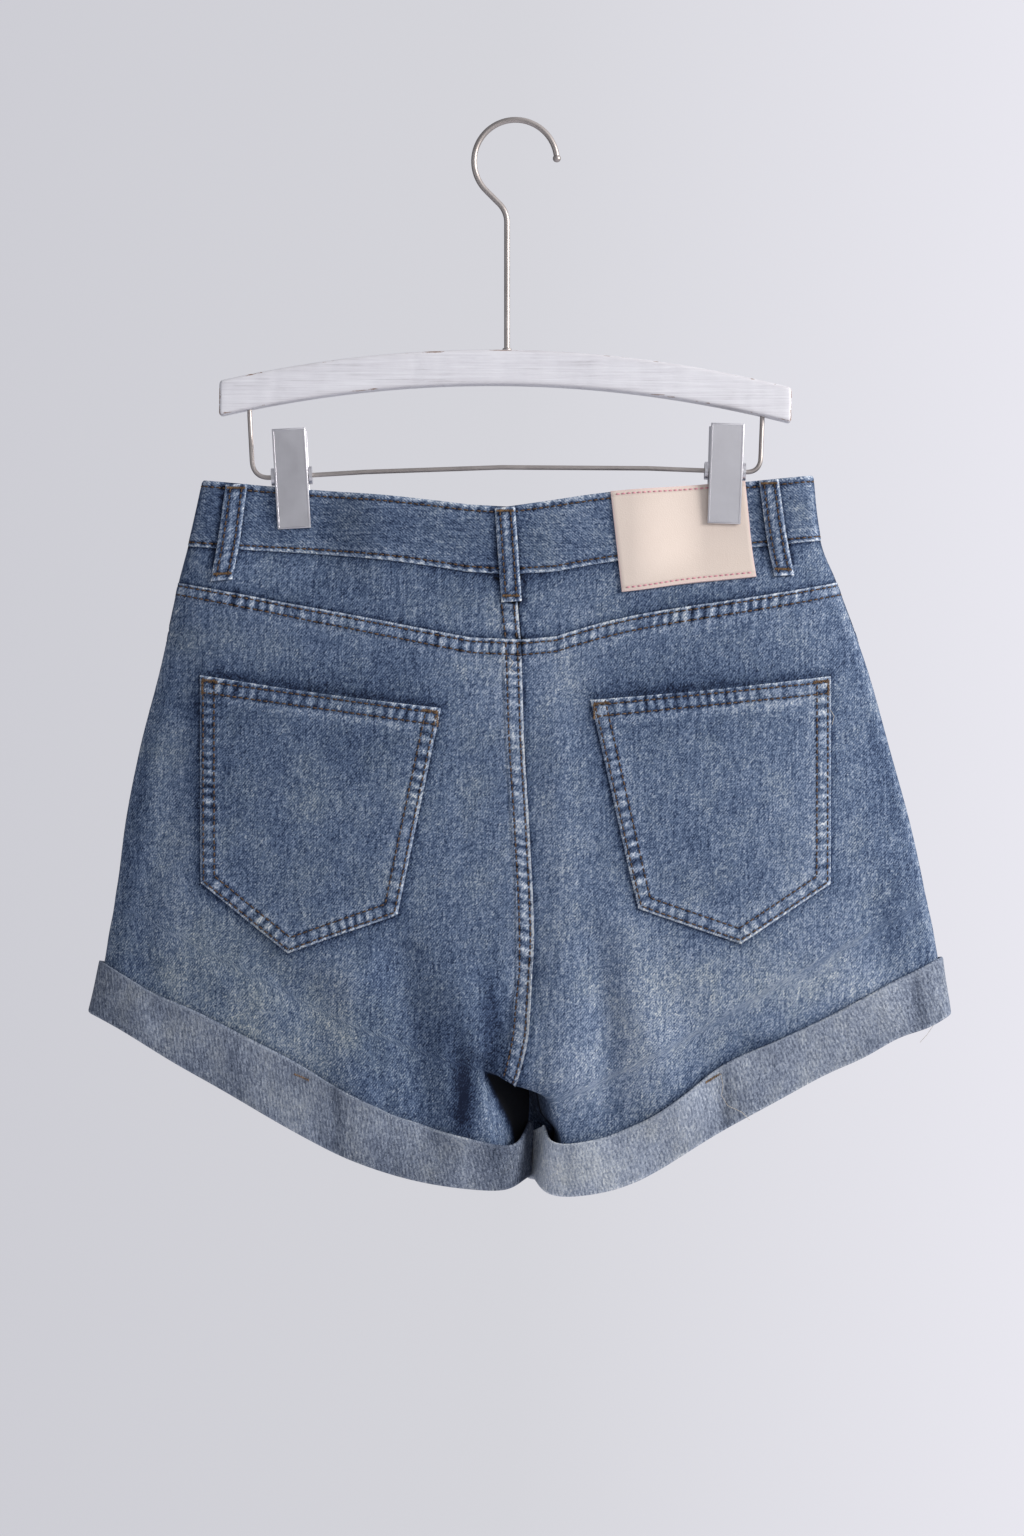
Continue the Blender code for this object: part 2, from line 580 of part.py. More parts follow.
def add_pocket_facing(side, denim, collection):
    """The cloth seen in the front pocket's mouth: level at the side seam, sunk elsewhere."""
    shares = np.array([s for s in WIDTH_SHARES if s < MOUTH_SPAN] + [MOUTH_SPAN + 0.05])
    width = abs(FACES[FRONT, side][1][0] - SIDE_FOLD[side][1][0])
    from_fold = shares * width
    sunk = smooth(from_fold, 1.0, FACING_MARGIN)
    under = smooth(from_fold, FACING_MARGIN, 2.5 * FACING_MARGIN)
    down = np.linspace(0.0, 1.0, 7)[:, None]
    t = down * (mouth_t(shares) - SEAM_GAP + (FACING_UNDERLAP + SEAM_GAP) * under)
    q = np.broadcast_to(q_of_share(shares), t.shape)
    outer = placed(body_point, FRONT, side, q, t, WALL_OUT - FACING_SINK * sunk)
    inner = placed(body_point, FRONT, side, q, t, WALL_IN - FACING_SINK * sunk)
    add_wall("front_pocket_facing_" + side, outer, inner, ("top", "start"), denim, collection)


def band_columns(side):
    """Columns of a waistband and a yoke, close enough for the press of the clips."""
    shares = np.concatenate([WIDTH_SHARES[:5], np.arange(0.12, 0.99, 0.044), [1.0]])
    return np.concatenate([q_of_share(shares), [0.925, 1.0]])


def add_waistband(denim, collection):
    rows = np.array((-40.0, -26.0, -13.0, 0.0))
    grids = {}
    for face in (BACK, FRONT):
        for side in ("L", "R"):
            q, t = np.meshgrid(band_columns(side), rows)
            for layer, offset in (("outer", BAND_OUT), ("inner", BAND_IN)):
                grids[face, side, layer] = placed(body_point, face, side, q, t, offset)
    around = {layer: np.concatenate([grids[BACK, "L", layer],
                                     grids[BACK, "R", layer][:, -2::-1]], axis=1)
              for layer in ("outer", "inner")}
    add_wall("waistband_back", around["outer"], around["inner"], ("foot", "start", "end"),
             denim, collection)
    for side in ("L", "R"):
        add_wall("waistband_front_" + side, grids[FRONT, side, "outer"],
                 grids[FRONT, side, "inner"], ("foot", "start", "end"), denim, collection)


def between(a, b, share):
    return np.asarray(a) + (np.asarray(b) - np.asarray(a)) * share


def add_back_pocket(side, denim, collection):
    """A five-sided patch pocket, its grid drawn between the top edge and the pointed foot."""
    top_outer, top_inner, low_inner, point, low_outer = (np.array(p) for p in POCKETS[side])
    split = (point[0] - low_outer[0]) / (low_inner[0] - low_outer[0])
    across = np.concatenate([np.linspace(0.0, split, 5), np.linspace(split, 1.0, 7)[1:]])
    down = np.linspace(0.0, 1.0, 9)
    grid = np.zeros((len(down), len(across), 2))
    for c, share in enumerate(across):
        top = between(top_outer, top_inner, share)
        if share <= split:
            foot = between(low_outer, point, share / split)
        else:
            foot = between(point, low_inner, (share - split) / (1.0 - split))
        grid[:, c] = between(top, foot, down[:, None])
    base = WALL_OUT + POCKET_GAP
    outer = laid(BACK, grid[..., 0], grid[..., 1], base + POCKET_WALL)
    inner = laid(BACK, grid[..., 0], grid[..., 1], base)
    add_wall("back_pocket_" + side, outer, inner, (), denim, collection)


def add_patch(leather, collection):
    top_left, top_right, low_right, low_left = (np.array(p) for p in PATCH)
    across = np.linspace(0.0, 1.0, 13)
    down = np.linspace(0.0, 1.0, 5)[:, None, None]
    grid = (between(top_left, top_right, across[:, None]) * (1 - down)
            + between(low_left, low_right, across[:, None]) * down)
    base = BAND_OUT + LAY_GAP
    outer = laid(BACK, grid[..., 0], grid[..., 1], base + PATCH_WALL)
    inner = laid(BACK, grid[..., 0], grid[..., 1], base)
    add_wall("leather_patch", outer, inner, (), leather, collection)


def add_belt_loop(name, denim, collection):
    face, top_x, top_z, foot_x, foot_z, width = LOOPS[name]
    down = np.linspace(0.0, 1.0, 9)[:, None]
    across = np.array((-0.5, 0.0, 0.5)) * width
    x = between(top_x, foot_x, down) + across
    z = between(top_z, foot_z, down) + 0.0 * across
    bulge = 0.9 * np.sin(math.pi * down) ** 2
    base = BAND_OUT + LAY_GAP + bulge + 0.0 * across
    outer = laid(face, x, z, base + LOOP_WALL)
    inner = laid(face, x, z, base)
    add_wall(name, outer, inner, (), denim, collection)


def add_fly(denim, collection):
    """The fly lap: a strip along the centre front with a round foot."""
    t = np.linspace(1.0, FLY_END_T, 12)
    across = np.linspace(0.0, 1.0, 6)
    rounding = np.sqrt(np.clip(1.0 - smooth(t, FLY_END_T - 45.0, FLY_END_T + 4.0) ** 2, 0.0, 1.0))
    distance = FLY_WIDTH * rounding[:, None] * (1.0 - across) + 0.3
    near = q_from_seam(FRONT, "L", t[:, None], distance)
    width = np.abs(FACES[FRONT, "L"][3][0] - SIDE_FOLD["L"][3][0])
    spare = np.maximum(distance - inner_length(FRONT, "L", t)[:, None], 0.0)
    q = np.where(spare > 0.0, q_of_share(1.0 - spare / width), near)
    t = np.broadcast_to(t[:, None], q.shape)
    base = WALL_OUT + LAY_GAP
    outer = placed(body_point, FRONT, "L", q, t, base + FLY_WALL)
    inner = placed(body_point, FRONT, "L", q, t, base)
    add_wall("fly", outer, inner, (), denim, collection)


CUFF_CAP = ((0, 1, 2), (0, 2, 9), (9, 2, 3), (9, 3, 8), (8, 3, 4), (8, 4, 7), (7, 4, 5), (7, 5, 6))


def add_cuff(face, side, denim, collection):
    """Half of a rolled cuff: a band outside the leg, turned under the leg's raw edge."""
    columns = panel_columns(face, side, (343.0,), False)[0]
    top, foot = LEVEL_T[-2:]
    profile = ((CUFF_IN + 0.5, top), (CUFF_OUT + 0.5, top), (CUFF_OUT + 0.3, (top + foot) / 2),
               (CUFF_OUT, foot - 1.0), (CUFF_OUT - 1.0, foot), (WALL_IN + 0.8, foot),
               (WALL_IN, foot - 0.6), (WALL_IN, foot - 1.7), (CUFF_IN, foot - 1.7),
               (CUFF_IN + 0.2, (top + foot) / 2))
    offsets = np.array([p[0] for p in profile])
    t = np.array([p[1] for p in profile])
    sections = placed(cuff_point, face, side, columns[:, None], t[None, :], offsets[None, :])
    sections = pull_back(sections, ("top", "foot"))
    name = "cuff_back_" if face == BACK else "cuff_front_"
    add_loft(name + side, sections, CUFF_CAP, denim, collection)


def add_button(metal, collection):
    """A shank button, turned about Y, on the lapping end of the waistband."""
    t = np.array(-20.0)
    q = q_from_seam(FRONT, "L", t, BUTTON_INSET)
    seat = placed(body_point, FRONT, "L", q, t, BAND_OUT + SEAM_GAP)
    profile = ((0.0, 0.0), (3.2, 0.0), (3.2, 1.4), (BUTTON_RADIUS, 1.6), (BUTTON_RADIUS, 2.6),
               (BUTTON_RADIUS - 1.2, 3.2), (BUTTON_RADIUS - 2.2, 2.8), (0.0, 3.0))
    mesh = bpy.data.meshes.new("button")
    points = [(r * MM, 0.0, h * MM) for r, h in reversed(profile)]
    mesh.from_pydata(points, [(k, k + 1) for k in range(len(points) - 1)], [])
    item = add_object("button", mesh, metal, collection)
    turn = item.modifiers.new("turn", "SCREW")
    turn.steps = turn.render_steps = 16
    turn.use_merge_vertices = True
    turn.merge_threshold = 0.00001
    item.rotation_euler = (-math.pi / 2, 0.0, 0.0)
    item.location = Vector(seat) * MM
    return item


# ------------------------------------------------------------------ hanger pieces


def add_wire(name, points, radius, material, collection, swells=None):
    curve = bpy.data.curves.new(name, "CURVE")
    curve.dimensions = "3D"
    curve.bevel_depth = radius * MM
    curve.bevel_resolution = 2
    curve.use_fill_caps = True
    spline = curve.splines.new("POLY")
    spline.points.add(len(points) - 1)
    for k, (x, y, z) in enumerate(points):
        spline.points[k].co = (x * MM, y * MM, z * MM, 1.0)
        spline.points[k].radius = swells[k] if swells else 1.0
    return add_object(name, curve, material, collection)


def arc(centre_x, centre_z, radius, start, stop, count):
    angles = np.linspace(start, stop, count)
    return [(centre_x + radius * math.cos(a), centre_z + radius * math.sin(a)) for a in angles]


def bar_top_z(x):
    """Height of the bar's curved top edge, before its tilt."""
    return BAR_TOP_Z - BAR_RISE * (2 * (x - BAR_X) / BAR_LENGTH) ** 2


def add_hook(metal, collection):
    centre_z = -HOOK_R + WIRE_R
    round_part = arc(HOOK_X, centre_z, HOOK_R, TIP_ANGLE, LEAVE_ANGLE, 30)
    slope = LEAVE_ANGLE - math.pi
    end_x, end_z = round_part[-1]
    bend_start_x = STEM_X - STEM_BEND_R * (1 - math.cos(slope))
    bend_start_z = end_z - (bend_start_x - end_x)
    bend = arc(STEM_X - STEM_BEND_R, bend_start_z - STEM_BEND_R * math.sin(slope),
               STEM_BEND_R, slope, 0.0, 8)
    foot_z = bar_top_z(STEM_X) - STEM_SINK
    flat = round_part + bend + [(STEM_X, -95.0), (STEM_X, foot_z)]
    # The free end swells into a small ball.
    tip_x, tip_z = flat[0]
    ball = [(tip_x, tip_z + dz) for dz in (-2.2, -1.6, -0.6, 0.6, 1.6)]
    swells = [0.45, 0.95, BALL_R / WIRE_R, BALL_R / WIRE_R, 1.1]
    flat = ball + flat[2:]
    swells = swells + [1.0] * (len(flat) - len(ball))
    points = [(x, 0.0, z) for x, z in flat]
    return add_wire("hanger_hook", points, WIRE_R, metal, collection, swells)


def bent_route(route, per_bend=6):
    """A wire's route with each corner rounded by an arc of its own radius."""
    corners = [Vector((x, z)) for x, z, _ in route]
    points = [corners[0]]
    for before, corner, after, (_, _, radius) in zip(corners, corners[1:], corners[2:], route[1:]):
        into = (corner - before).normalized()
        out = (after - corner).normalized()
        turn = into.angle(out)
        reach = radius * math.tan(turn / 2)
        start = corner - into * reach
        stop = corner + out * reach
        count = max(2, round(per_bend * turn) + 1)
        for k in range(count + 1):
            u = k / count
            points.append(start * (1 - u) ** 2 + corner * 2 * u * (1 - u) + stop * u * u)
    return points + [corners[-1]]


def add_rod(metal, collection):
    points = [(p.x, 0.0, p.y) for p in bent_route(ROD_ROUTE)]
    return add_wire("hanger_rod", points, ROD_R, metal, collection)


def add_cutter(name, x, low_z, high_z, radius, cutters):
    bpy.ops.mesh.primitive_cylinder_add(vertices=20, radius=radius * MM,
                                        depth=(high_z - low_z) * MM,
                                        location=(x * MM, 0.0, (low_z + high_z) / 2 * MM))
    cutter = bpy.context.object
    cutter.name = name
    for owner in cutter.users_collection:
        owner.objects.unlink(cutter)
    cutters.objects.link(cutter)
    cutter.hide_render = True
    cutter.display_type = "WIRE"
    return cutter


def cut(item, cutter):
    boolean = item.modifiers.new(cutter.name, "BOOLEAN")
    boolean.operation = "DIFFERENCE"
    boolean.object = cutter


def add_bar(wood, collection, cutters):
    """The curved wooden bar, with holes for the hook's stem and the rod's ends."""
    half = BAR_LENGTH / 2
    xs = np.linspace(-half, half, 19) + BAR_X
    top = [(x, bar_top_z(x)) for x in xs]
    foot = [(x, z - BAR_HEIGHT) for x, z in reversed(top)]
    curve = bpy.data.curves.new("bar_outline", "CURVE")
    curve.dimensions = "2D"
    curve.fill_mode = "BOTH"
    curve.extrude = BAR_THICKNESS / 2 * MM
    spline = curve.splines.new("POLY")
    outline = top + foot
    spline.points.add(len(outline) - 1)
    spline.use_cyclic_u = True
    for k, (x, z) in enumerate(outline):
        spline.points[k].co = ((x - BAR_X) * MM, (z - BAR_TOP_Z) * MM, 0.0, 1.0)
    outline_object = bpy.data.objects.new("bar_outline", curve)
    collection.objects.link(outline_object)
    bpy.context.view_layer.update()
    evaluated = outline_object.evaluated_get(bpy.context.evaluated_depsgraph_get())
    mesh = bpy.data.meshes.new_from_object(evaluated)
    bpy.data.objects.remove(outline_object)
    bm = bmesh.new()
    bm.from_mesh(mesh)
    bmesh.ops.remove_doubles(bm, verts=bm.verts, dist=0.00001)
    upright = Matrix.Rotation(math.pi / 2, 4, "X")
    place = Matrix.Translation(Vector((BAR_X, 0.0, BAR_TOP_Z)) * MM)
    bmesh.ops.transform(bm, matrix=place @ Matrix.Rotation(-BAR_TILT, 4, "Y") @ upright,
                        verts=bm.verts)
    bm.to_mesh(mesh)
    bm.free()
    item = add_object("hanger_bar", mesh, wood, collection)
    edge = item.modifiers.new("edge", "BEVEL")
    edge.width = BAR_EDGE * MM
    edge.segments = 2
    edge.limit_method = "ANGLE"
    edge.angle_limit = math.radians(50.0)
    stem_foot = bar_top_z(STEM_X) - STEM_SINK
    cut(item, add_cutter("stem_hole", STEM_X, stem_foot - SEAM_GAP, BAR_TOP_Z + 10.0,
                         WIRE_R + HOLE_GAP, cutters))
    for name, (x, z, _) in (("rod_hole_L", ROD_ROUTE[0]), ("rod_hole_R", ROD_ROUTE[-1])):
        cut(item, add_cutter(name, x, z - ROD_SINK - 12.0, z + SEAM_GAP, ROD_R + HOLE_GAP + 0.2,
                             cutters))
    return item


def add_box(bm, size, centre):
    made = bmesh.ops.create_cube(bm, size=1.0)["verts"]
    scale = Matrix.Diagonal((*(Vector(size) * MM), 1.0))
    bmesh.ops.transform(bm, matrix=Matrix.Translation(Vector(centre) * MM) @ scale, verts=made)
    return made


def solid_from(name, bm, material, collection):
    mesh = bpy.data.meshes.new(name)
    bm.to_mesh(mesh)
    bm.free()
    return add_object(name, mesh, material, collection)


def add_helper(name, bm, cutters):
    """A solid that is joined to a piece, or cut from it."""
    mesh = bpy.data.meshes.new(name)
    bm.to_mesh(mesh)
    bm.free()
    item = bpy.data.objects.new(name, mesh)
    cutters.objects.link(item)
    item.hide_render = True
    item.display_type = "WIRE"
    return item


def rod_wise(bm, radius, depth, centre, segments):
    """A cylinder along X."""
    made = bmesh.ops.create_cone(bm, cap_ends=True, segments=segments, radius1=radius * MM,
                                 radius2=radius * MM, depth=depth * MM)["verts"]
    turn = Matrix.Rotation(math.pi / 2, 4, "Y")
    bmesh.ops.transform(bm, matrix=Matrix.Translation(Vector(centre) * MM) @ turn, verts=made)


def join(item, helper):
    boolean = item.modifiers.new(helper.name, "BOOLEAN")
    boolean.operation = "UNION"
    boolean.object = helper


def clip_frame(side):
    """A clip's own frame: its origin on the rod, X along the rod and Z up the jaws."""
    x, _, turn, rod_z, _, _ = CLIPS[side]
    return Matrix.Translation(Vector((x, 0.0, rod_z)) * MM) @ Matrix.Rotation(turn, 4, "Y")


def add_clip_helper(name, side, build, cutters):
    bm = bmesh.new()
    build(bm)
    bmesh.ops.transform(bm, matrix=clip_frame(side), verts=bm.verts)
    return add_helper(name, bm, cutters)


def add_jaw(side, face, metal, collection, cutters):
    """One jaw of a clip: a plate that leans in to its grip, with two ears round the rod."""
    _, z, _, rod_z, near_cloth, far_cloth = CLIPS[side]
    near = face == BACK
    name = "clip_%s_%s_jaw" % (side, "near" if near else "far")
    grip = (near_cloth if near else far_cloth) + SEAM_GAP
    middle_y = face * (grip + JAW_SPREAD / 2 + JAW_WALL / 2)
    lean = math.asin(JAW_SPREAD / JAW_HEIGHT)
    bm = bmesh.new()
    add_box(bm, (JAW_WIDTH, JAW_WALL, JAW_HEIGHT), (0.0, 0.0, 0.0))
    bmesh.ops.bevel(bm, geom=list(bm.edges), offset=0.35 * MM, segments=1, affect="EDGES")
    pose = (Matrix.Translation(Vector((0.0, middle_y, z - rod_z)) * MM)
            @ Matrix.Rotation(-face * lean, 4, "X"))
    bmesh.ops.transform(bm, matrix=clip_frame(side) @ pose, verts=bm.verts)
    item = solid_from(name, bm, metal, collection)
    reach = abs(middle_y) + 0.2
    if near:
        ear_x, ear_wall, ear_r = (BARREL_LENGTH + NEAR_EAR_WALL) / 2, NEAR_EAR_WALL, NEAR_EAR_R
    else:
        ear_x, ear_wall, ear_r = (JAW_WIDTH + FAR_EAR_WALL) / 2 + SEAM_GAP, FAR_EAR_WALL, FAR_EAR_R
    for sign in (-1, 1):
        def ear(helper):
            rod_wise(helper, ear_r, ear_wall, (sign * ear_x, 0.0, 0.0), 14)

        def web(helper):
            add_box(helper, (ear_wall - 0.1, reach, 1.7 * ear_r),
                    (sign * ear_x, face * reach / 2, 0.0))

        def foot(helper):
            inner = JAW_WIDTH / 2 - 2.0
            add_box(helper, (ear_x - inner, JAW_WALL - 0.3, 1.6 * ear_r),
                    (sign * (ear_x + inner) / 2, face * (reach - JAW_WALL / 2), 0.0))

        builders = (ear, web) if near else (ear, web, foot)
        for build in builders:
            join(item, add_clip_helper("%s_%s_%d" % (name, build.__name__, sign), side, build,
                                       cutters))
    cut(item, add_clip_helper(name + "_hole", side, rod_hole, cutters))
    return item


def rod_hole(helper):
    rod_wise(helper, ROD_R + CLIP_HOLE_GAP, 60.0, (0.0, 0.0, 0.0), 12)


def add_barrel(side, metal, collection, cutters):
    """The spring's barrel on the rod, between the near jaw's ears."""
    bm = bmesh.new()
    rod_wise(bm, BARREL_R, BARREL_LENGTH - 2 * SEAM_GAP, (0.0, 0.0, 0.0), 14)
    bmesh.ops.transform(bm, matrix=clip_frame(side), verts=bm.verts)
    item = solid_from("clip_%s_barrel" % side, bm, metal, collection)
    cut(item, add_clip_helper("clip_%s_barrel_hole" % side, side, rod_hole, cutters))
    return item


# ------------------------------------------------------------------ assembly


def main():
    for item in list(bpy.data.objects):
        bpy.data.objects.remove(item)
    shorts = make_collection("denim_shorts")
    cutters = make_collection("cutters")
    denim = make_material("washed_denim", (0.18, 0.26, 0.38), 0.9)
    reverse = make_material("denim_reverse", (0.33, 0.37, 0.44), 0.9)
    leather = make_material("cream_leather", (0.75, 0.62, 0.52), 0.55)
    nickel = make_material("brushed_nickel", (0.62, 0.58, 0.53), 0.35, 1.0)
    brass = make_material("button_metal", (0.6, 0.48, 0.32), 0.35, 1.0)
    wood = make_material("white_painted_wood", (0.86, 0.86, 0.87), 0.5)

    add_waistband(denim, shorts)
    for side in ("L", "R"):
        add_yoke(side, band_columns(side), denim, shorts)
        add_back_panel(side, denim, shorts)
        add_front_panel(side, denim, shorts)
        add_pocket_facing(side, denim, shorts)
        add_back_pocket(side, denim, shorts)
        for face in (BACK, FRONT):
            add_cuff(face, side, reverse, shorts)
    for name in LOOPS:
        add_belt_loop(name, denim, shorts)
    add_patch(leather, shorts)
    add_fly(denim, shorts)
    add_button(brass, shorts)

    add_hook(nickel, shorts)
    add_rod(nickel, shorts)
    add_bar(wood, shorts, cutters)
    for side in ("L", "R"):
        for face in (BACK, FRONT):
            add_jaw(side, face, nickel, shorts, cutters)
        add_barrel(side, nickel, shorts, cutters)


main()
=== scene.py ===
"""Washed denim shorts hanging from a clip hanger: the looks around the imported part.

Lengths in the tables are in millimetres and the meshes are in metres. X runs across the shorts, Y
from their back to their front and Z up; L and R are the wearer's left and right. The cloth follows
one surface. A point of it has q, from 0 at the side fold to 1 at the centre seam or the inseam, and
t, the way down from the waist seam.
"""
import math

import bmesh
import bpy
import numpy as np
from mathutils import Matrix, Vector


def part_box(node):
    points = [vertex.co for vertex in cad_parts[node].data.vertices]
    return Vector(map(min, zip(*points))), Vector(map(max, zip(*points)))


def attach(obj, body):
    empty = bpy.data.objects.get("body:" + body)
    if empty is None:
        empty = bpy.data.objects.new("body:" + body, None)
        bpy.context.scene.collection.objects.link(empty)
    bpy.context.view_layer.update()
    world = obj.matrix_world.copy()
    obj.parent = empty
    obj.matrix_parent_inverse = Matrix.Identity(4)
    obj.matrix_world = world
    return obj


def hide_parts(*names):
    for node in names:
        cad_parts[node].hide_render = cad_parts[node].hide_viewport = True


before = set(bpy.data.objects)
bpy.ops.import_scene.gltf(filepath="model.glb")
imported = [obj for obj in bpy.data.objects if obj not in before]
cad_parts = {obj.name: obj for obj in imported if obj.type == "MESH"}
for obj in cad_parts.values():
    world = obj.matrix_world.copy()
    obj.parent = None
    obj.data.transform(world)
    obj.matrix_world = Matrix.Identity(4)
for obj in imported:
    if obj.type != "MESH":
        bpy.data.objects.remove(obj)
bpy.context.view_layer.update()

MM = 0.001
BACK = -1
FRONT = 1
SIDES = ("L", "R")
OTHER_SIDE = {"L": "R", "R": "L"}
ROOT = "root"

# ---- sizes of the garment

# How far outwards from the surface the two sides of each wall of cloth lie.
WALL_IN, WALL_OUT = 1.4, 2.6
BAND_IN, BAND_OUT = 0.6, 3
CUFF_IN, CUFF_OUT = 2.9, 4.9
# The felled strips: their rise, their width and how much of it the rows draw in.
FELL = 0.8
YOKE_FELL = 0.5
FELL_WIDTH = 10.4
FELL_SEWN = 10.2
# Where the section turns from its rounded side to its straight inner part.
CORNER_Q = 0.85
INNER_SINK = 2
MITRE_LIMIT = 1.5
# The front pocket's mouth: a share of the panel's width, and how far down it drops.
MOUTH_SPAN = 0.5
MOUTH_DROP = 70
FACING_SINK = 2.6
FACING_END_T = 97
RAW_EDGE_T = 369.8
BAND_HEIGHT = 40
LOOP_LENGTH = 58
LOOP_WIDTH = 12.4
# Angles in degrees above which an edge looks sharp.
CLOTH_SHARP = 50
THREAD_SHARP = 80

# Rows of stitches: how far each lies from its seam or edge, and the length from stitch to stitch.
YOKE_ROWS = (2.4, 9)
SEAM_ROWS = (2.2, 9)
FRONT_SEAM_DIPS = (2.2, 8.4)
MOUTH_ROWS = (2.4, 8.8)
POCKET_HEM_ROWS = (3.5, 10.2)
POCKET_ROWS = (2, 8.4)
BAND_ROWS_T = (-3.2, -36.4)
FLY_ROWS = (30, 33)
FLY_EDGE_ROW = 2.2
PATCH_ROW = 2.2
STITCH_PITCH = 3.7
PATCH_PITCH = 3.2

LEVELS = ("waist_top", "waist_seam", "yoke_seam", "hip", "seat", "low_seat", "thigh", "fold",
          "crotch", "arch", "under_arch", "leg", "cuff_top", "hem")
LEVEL_T = (-40, 0, 40, 97, 154, 211, 259, 293, 299, 302, 305, 318, 343, 372)
CROTCH = LEVELS.index("crotch")
CROTCH_T = LEVEL_T[CROTCH]
YOKE_T = 40
TOP_T, HEM_T = LEVEL_T[-2:]

SIDE_FOLD = {
    "L": ((-184.8, -215.4), (-193.8, -255), (-199.6, -277.2), (-211, -328.8),
          (-223.3, -376.8), (-232, -421.8), (-235.8, -451.8), (-238, -466),
          (-238.6, -470.5), (-239, -473), (-239.4, -475.5), (-241.3, -484.8),
          (-244.6, -504), (-251.9, -535.2)),
    "R": ((176.4, -212.4), (181, -251.6), (190.8, -277.2), (209.5, -328.8),
          (223, -376.8), (235.3, -421.8), (242, -451.8), (244.6, -465),
          (245.6, -469), (246, -471.5), (246.6, -474), (248.6, -483),
          (251.8, -501.6), (257.3, -530.4)),
}

# A row a level: corner_x, corner_z, seam_x, seam_y, seam_z, depth, bow.
FACES = {
    (BACK, "L"): (
        (-27, -230.4, -4.8, -9, -231.6, 9, -1),
        (-29.4, -270.6, -4.2, -12, -272.4, 12, -2.5),
        (-25.8, -310.2, 3.3, -16, -311.4, 16, 0),
        (-25.2, -367.8, 5.4, -21, -370.8, 21, 1),
        (-24, -424.8, 9, -24, -430.8, 24, 2.5),
        (-22.8, -481.8, 11.4, -25, -490.8, 25, 4),
        (-22.2, -529.8, 8.4, -25, -544.8, 25, 6),
        (-21, -563, 0.6, -20, -576, 24, 7.5),
        (-20.8, -567.5, 9, 2, -576, 24, 8),
        (-20.6, -570, 6.1, 2.4, -577.2, 24, 8),
        (-20.3, -573, 5, 3, -580.2, 24, 8.5),
        (-18.6, -585.6, 4.8, 2, -591.6, 24, 9),
        (-13.2, -612.6, 4, 0, -610, 23.5, 11),
        (-8, -638.4, 4.4, 0, -633, 23, 19)),
    (BACK, "R"): (
        (24.6, -227.4, -4.8, -9, -231.6, 9, -1.5),
        (24.6, -270.6, -4.2, -12, -272.4, 12, -2),
        (24.6, -309.6, 3.3, -16, -311.4, 16, -3.5),
        (24.6, -367.8, 5.4, -21, -370.8, 21, -1),
        (24.3, -426, 9, -24, -430.8, 24, 0),
        (23.7, -484.8, 11.4, -25, -490.8, 25, 2),
        (23.1, -536, 8.4, -25, -544.8, 25, 4),
        (22.2, -582, 0.6, -20, -576, 24, 5),
        (21.9, -586.5, 9, 2, -576, 24, 5),
        (22, -588, 11.9, 2.4, -577.2, 24, 5),
        (22.3, -589.5, 13, 3, -580.2, 24, 5.5),
        (24, -596, 16, 3, -594, 24, 6),
        (28.5, -611.4, 24, 2, -606, 23.5, 10),
        (22.2, -642, 15.4, 0, -635, 23, 17)),
    (FRONT, "L"): (
        (-27, -245, -3, 11, -248, 11, 2),
        (-27, -285, -3, 13, -288, 13, 2),
        (-26, -320, -2, 16, -324, 16, 2),
        (-25, -374, 0, 20, -379, 20, 2),
        (-23, -429, 2, 22, -435, 22, 3),
        (-20, -484, 3, 23, -492, 23, 4),
        (-14, -531, 3, 23, -541, 23, 5),
        (-9, -562, 4, 19, -573, 22, 6.5),
        (-8, -567, 9, 2, -576, 22, 7),
        (-7.5, -570, 6.1, 2.4, -577.2, 22, 7),
        (-7, -573, 5, 3, -580.2, 22, 7.5),
        (-6, -586, 4.8, 2, -591.6, 22, 8),
        (-7, -611, 4, 0, -610, 21.5, 9),
        (-5, -635, 4.4, 0, -633, 21, 15)),
    (FRONT, "R"): (
        (21, -243, -3, 11, -248, 11, 2),
        (21, -284, -3, 13, -288, 13, 2),
        (21, -319, -2, 16, -324, 16, 2),
        (22, -373, 0, 20, -379, 20, 1),
        (22, -429, 2, 22, -435, 22, 2),
        (20, -486, 3, 23, -492, 23, 3),
        (15, -536, 3, 23, -541, 23, 4),
        (10.5, -568, 4, 19, -573, 22, 5),
        (8, -572, 9, 2, -576, 22, 5),
        (7.2, -575, 11.9, 2.4, -577.2, 22, 5),
        (6.2, -577, 13, 3, -580.2, 22, 5.5),
        (6, -588, 16, 3, -594, 22, 6),
        (6.5, -611, 24, 2, -606, 21.5, 9),
        (9, -636, 15.4, 0, -635, 21, 14)),
}
CUFF_TOP = {
    (BACK, "L"): (-3, -612.5, 4.5, 0, -599, 25, 11),
    (BACK, "R"): (25, -612, 22, -4, -602.5, 25, 10),
    (FRONT, "L"): (-6, -611, 4.5, 0, -599, 22.5, 9),
    (FRONT, "R"): (7, -611, 22, -4, -602.5, 22.5, 9),
}
BOW_SKEW = {"L": 1.5, "R": 2}

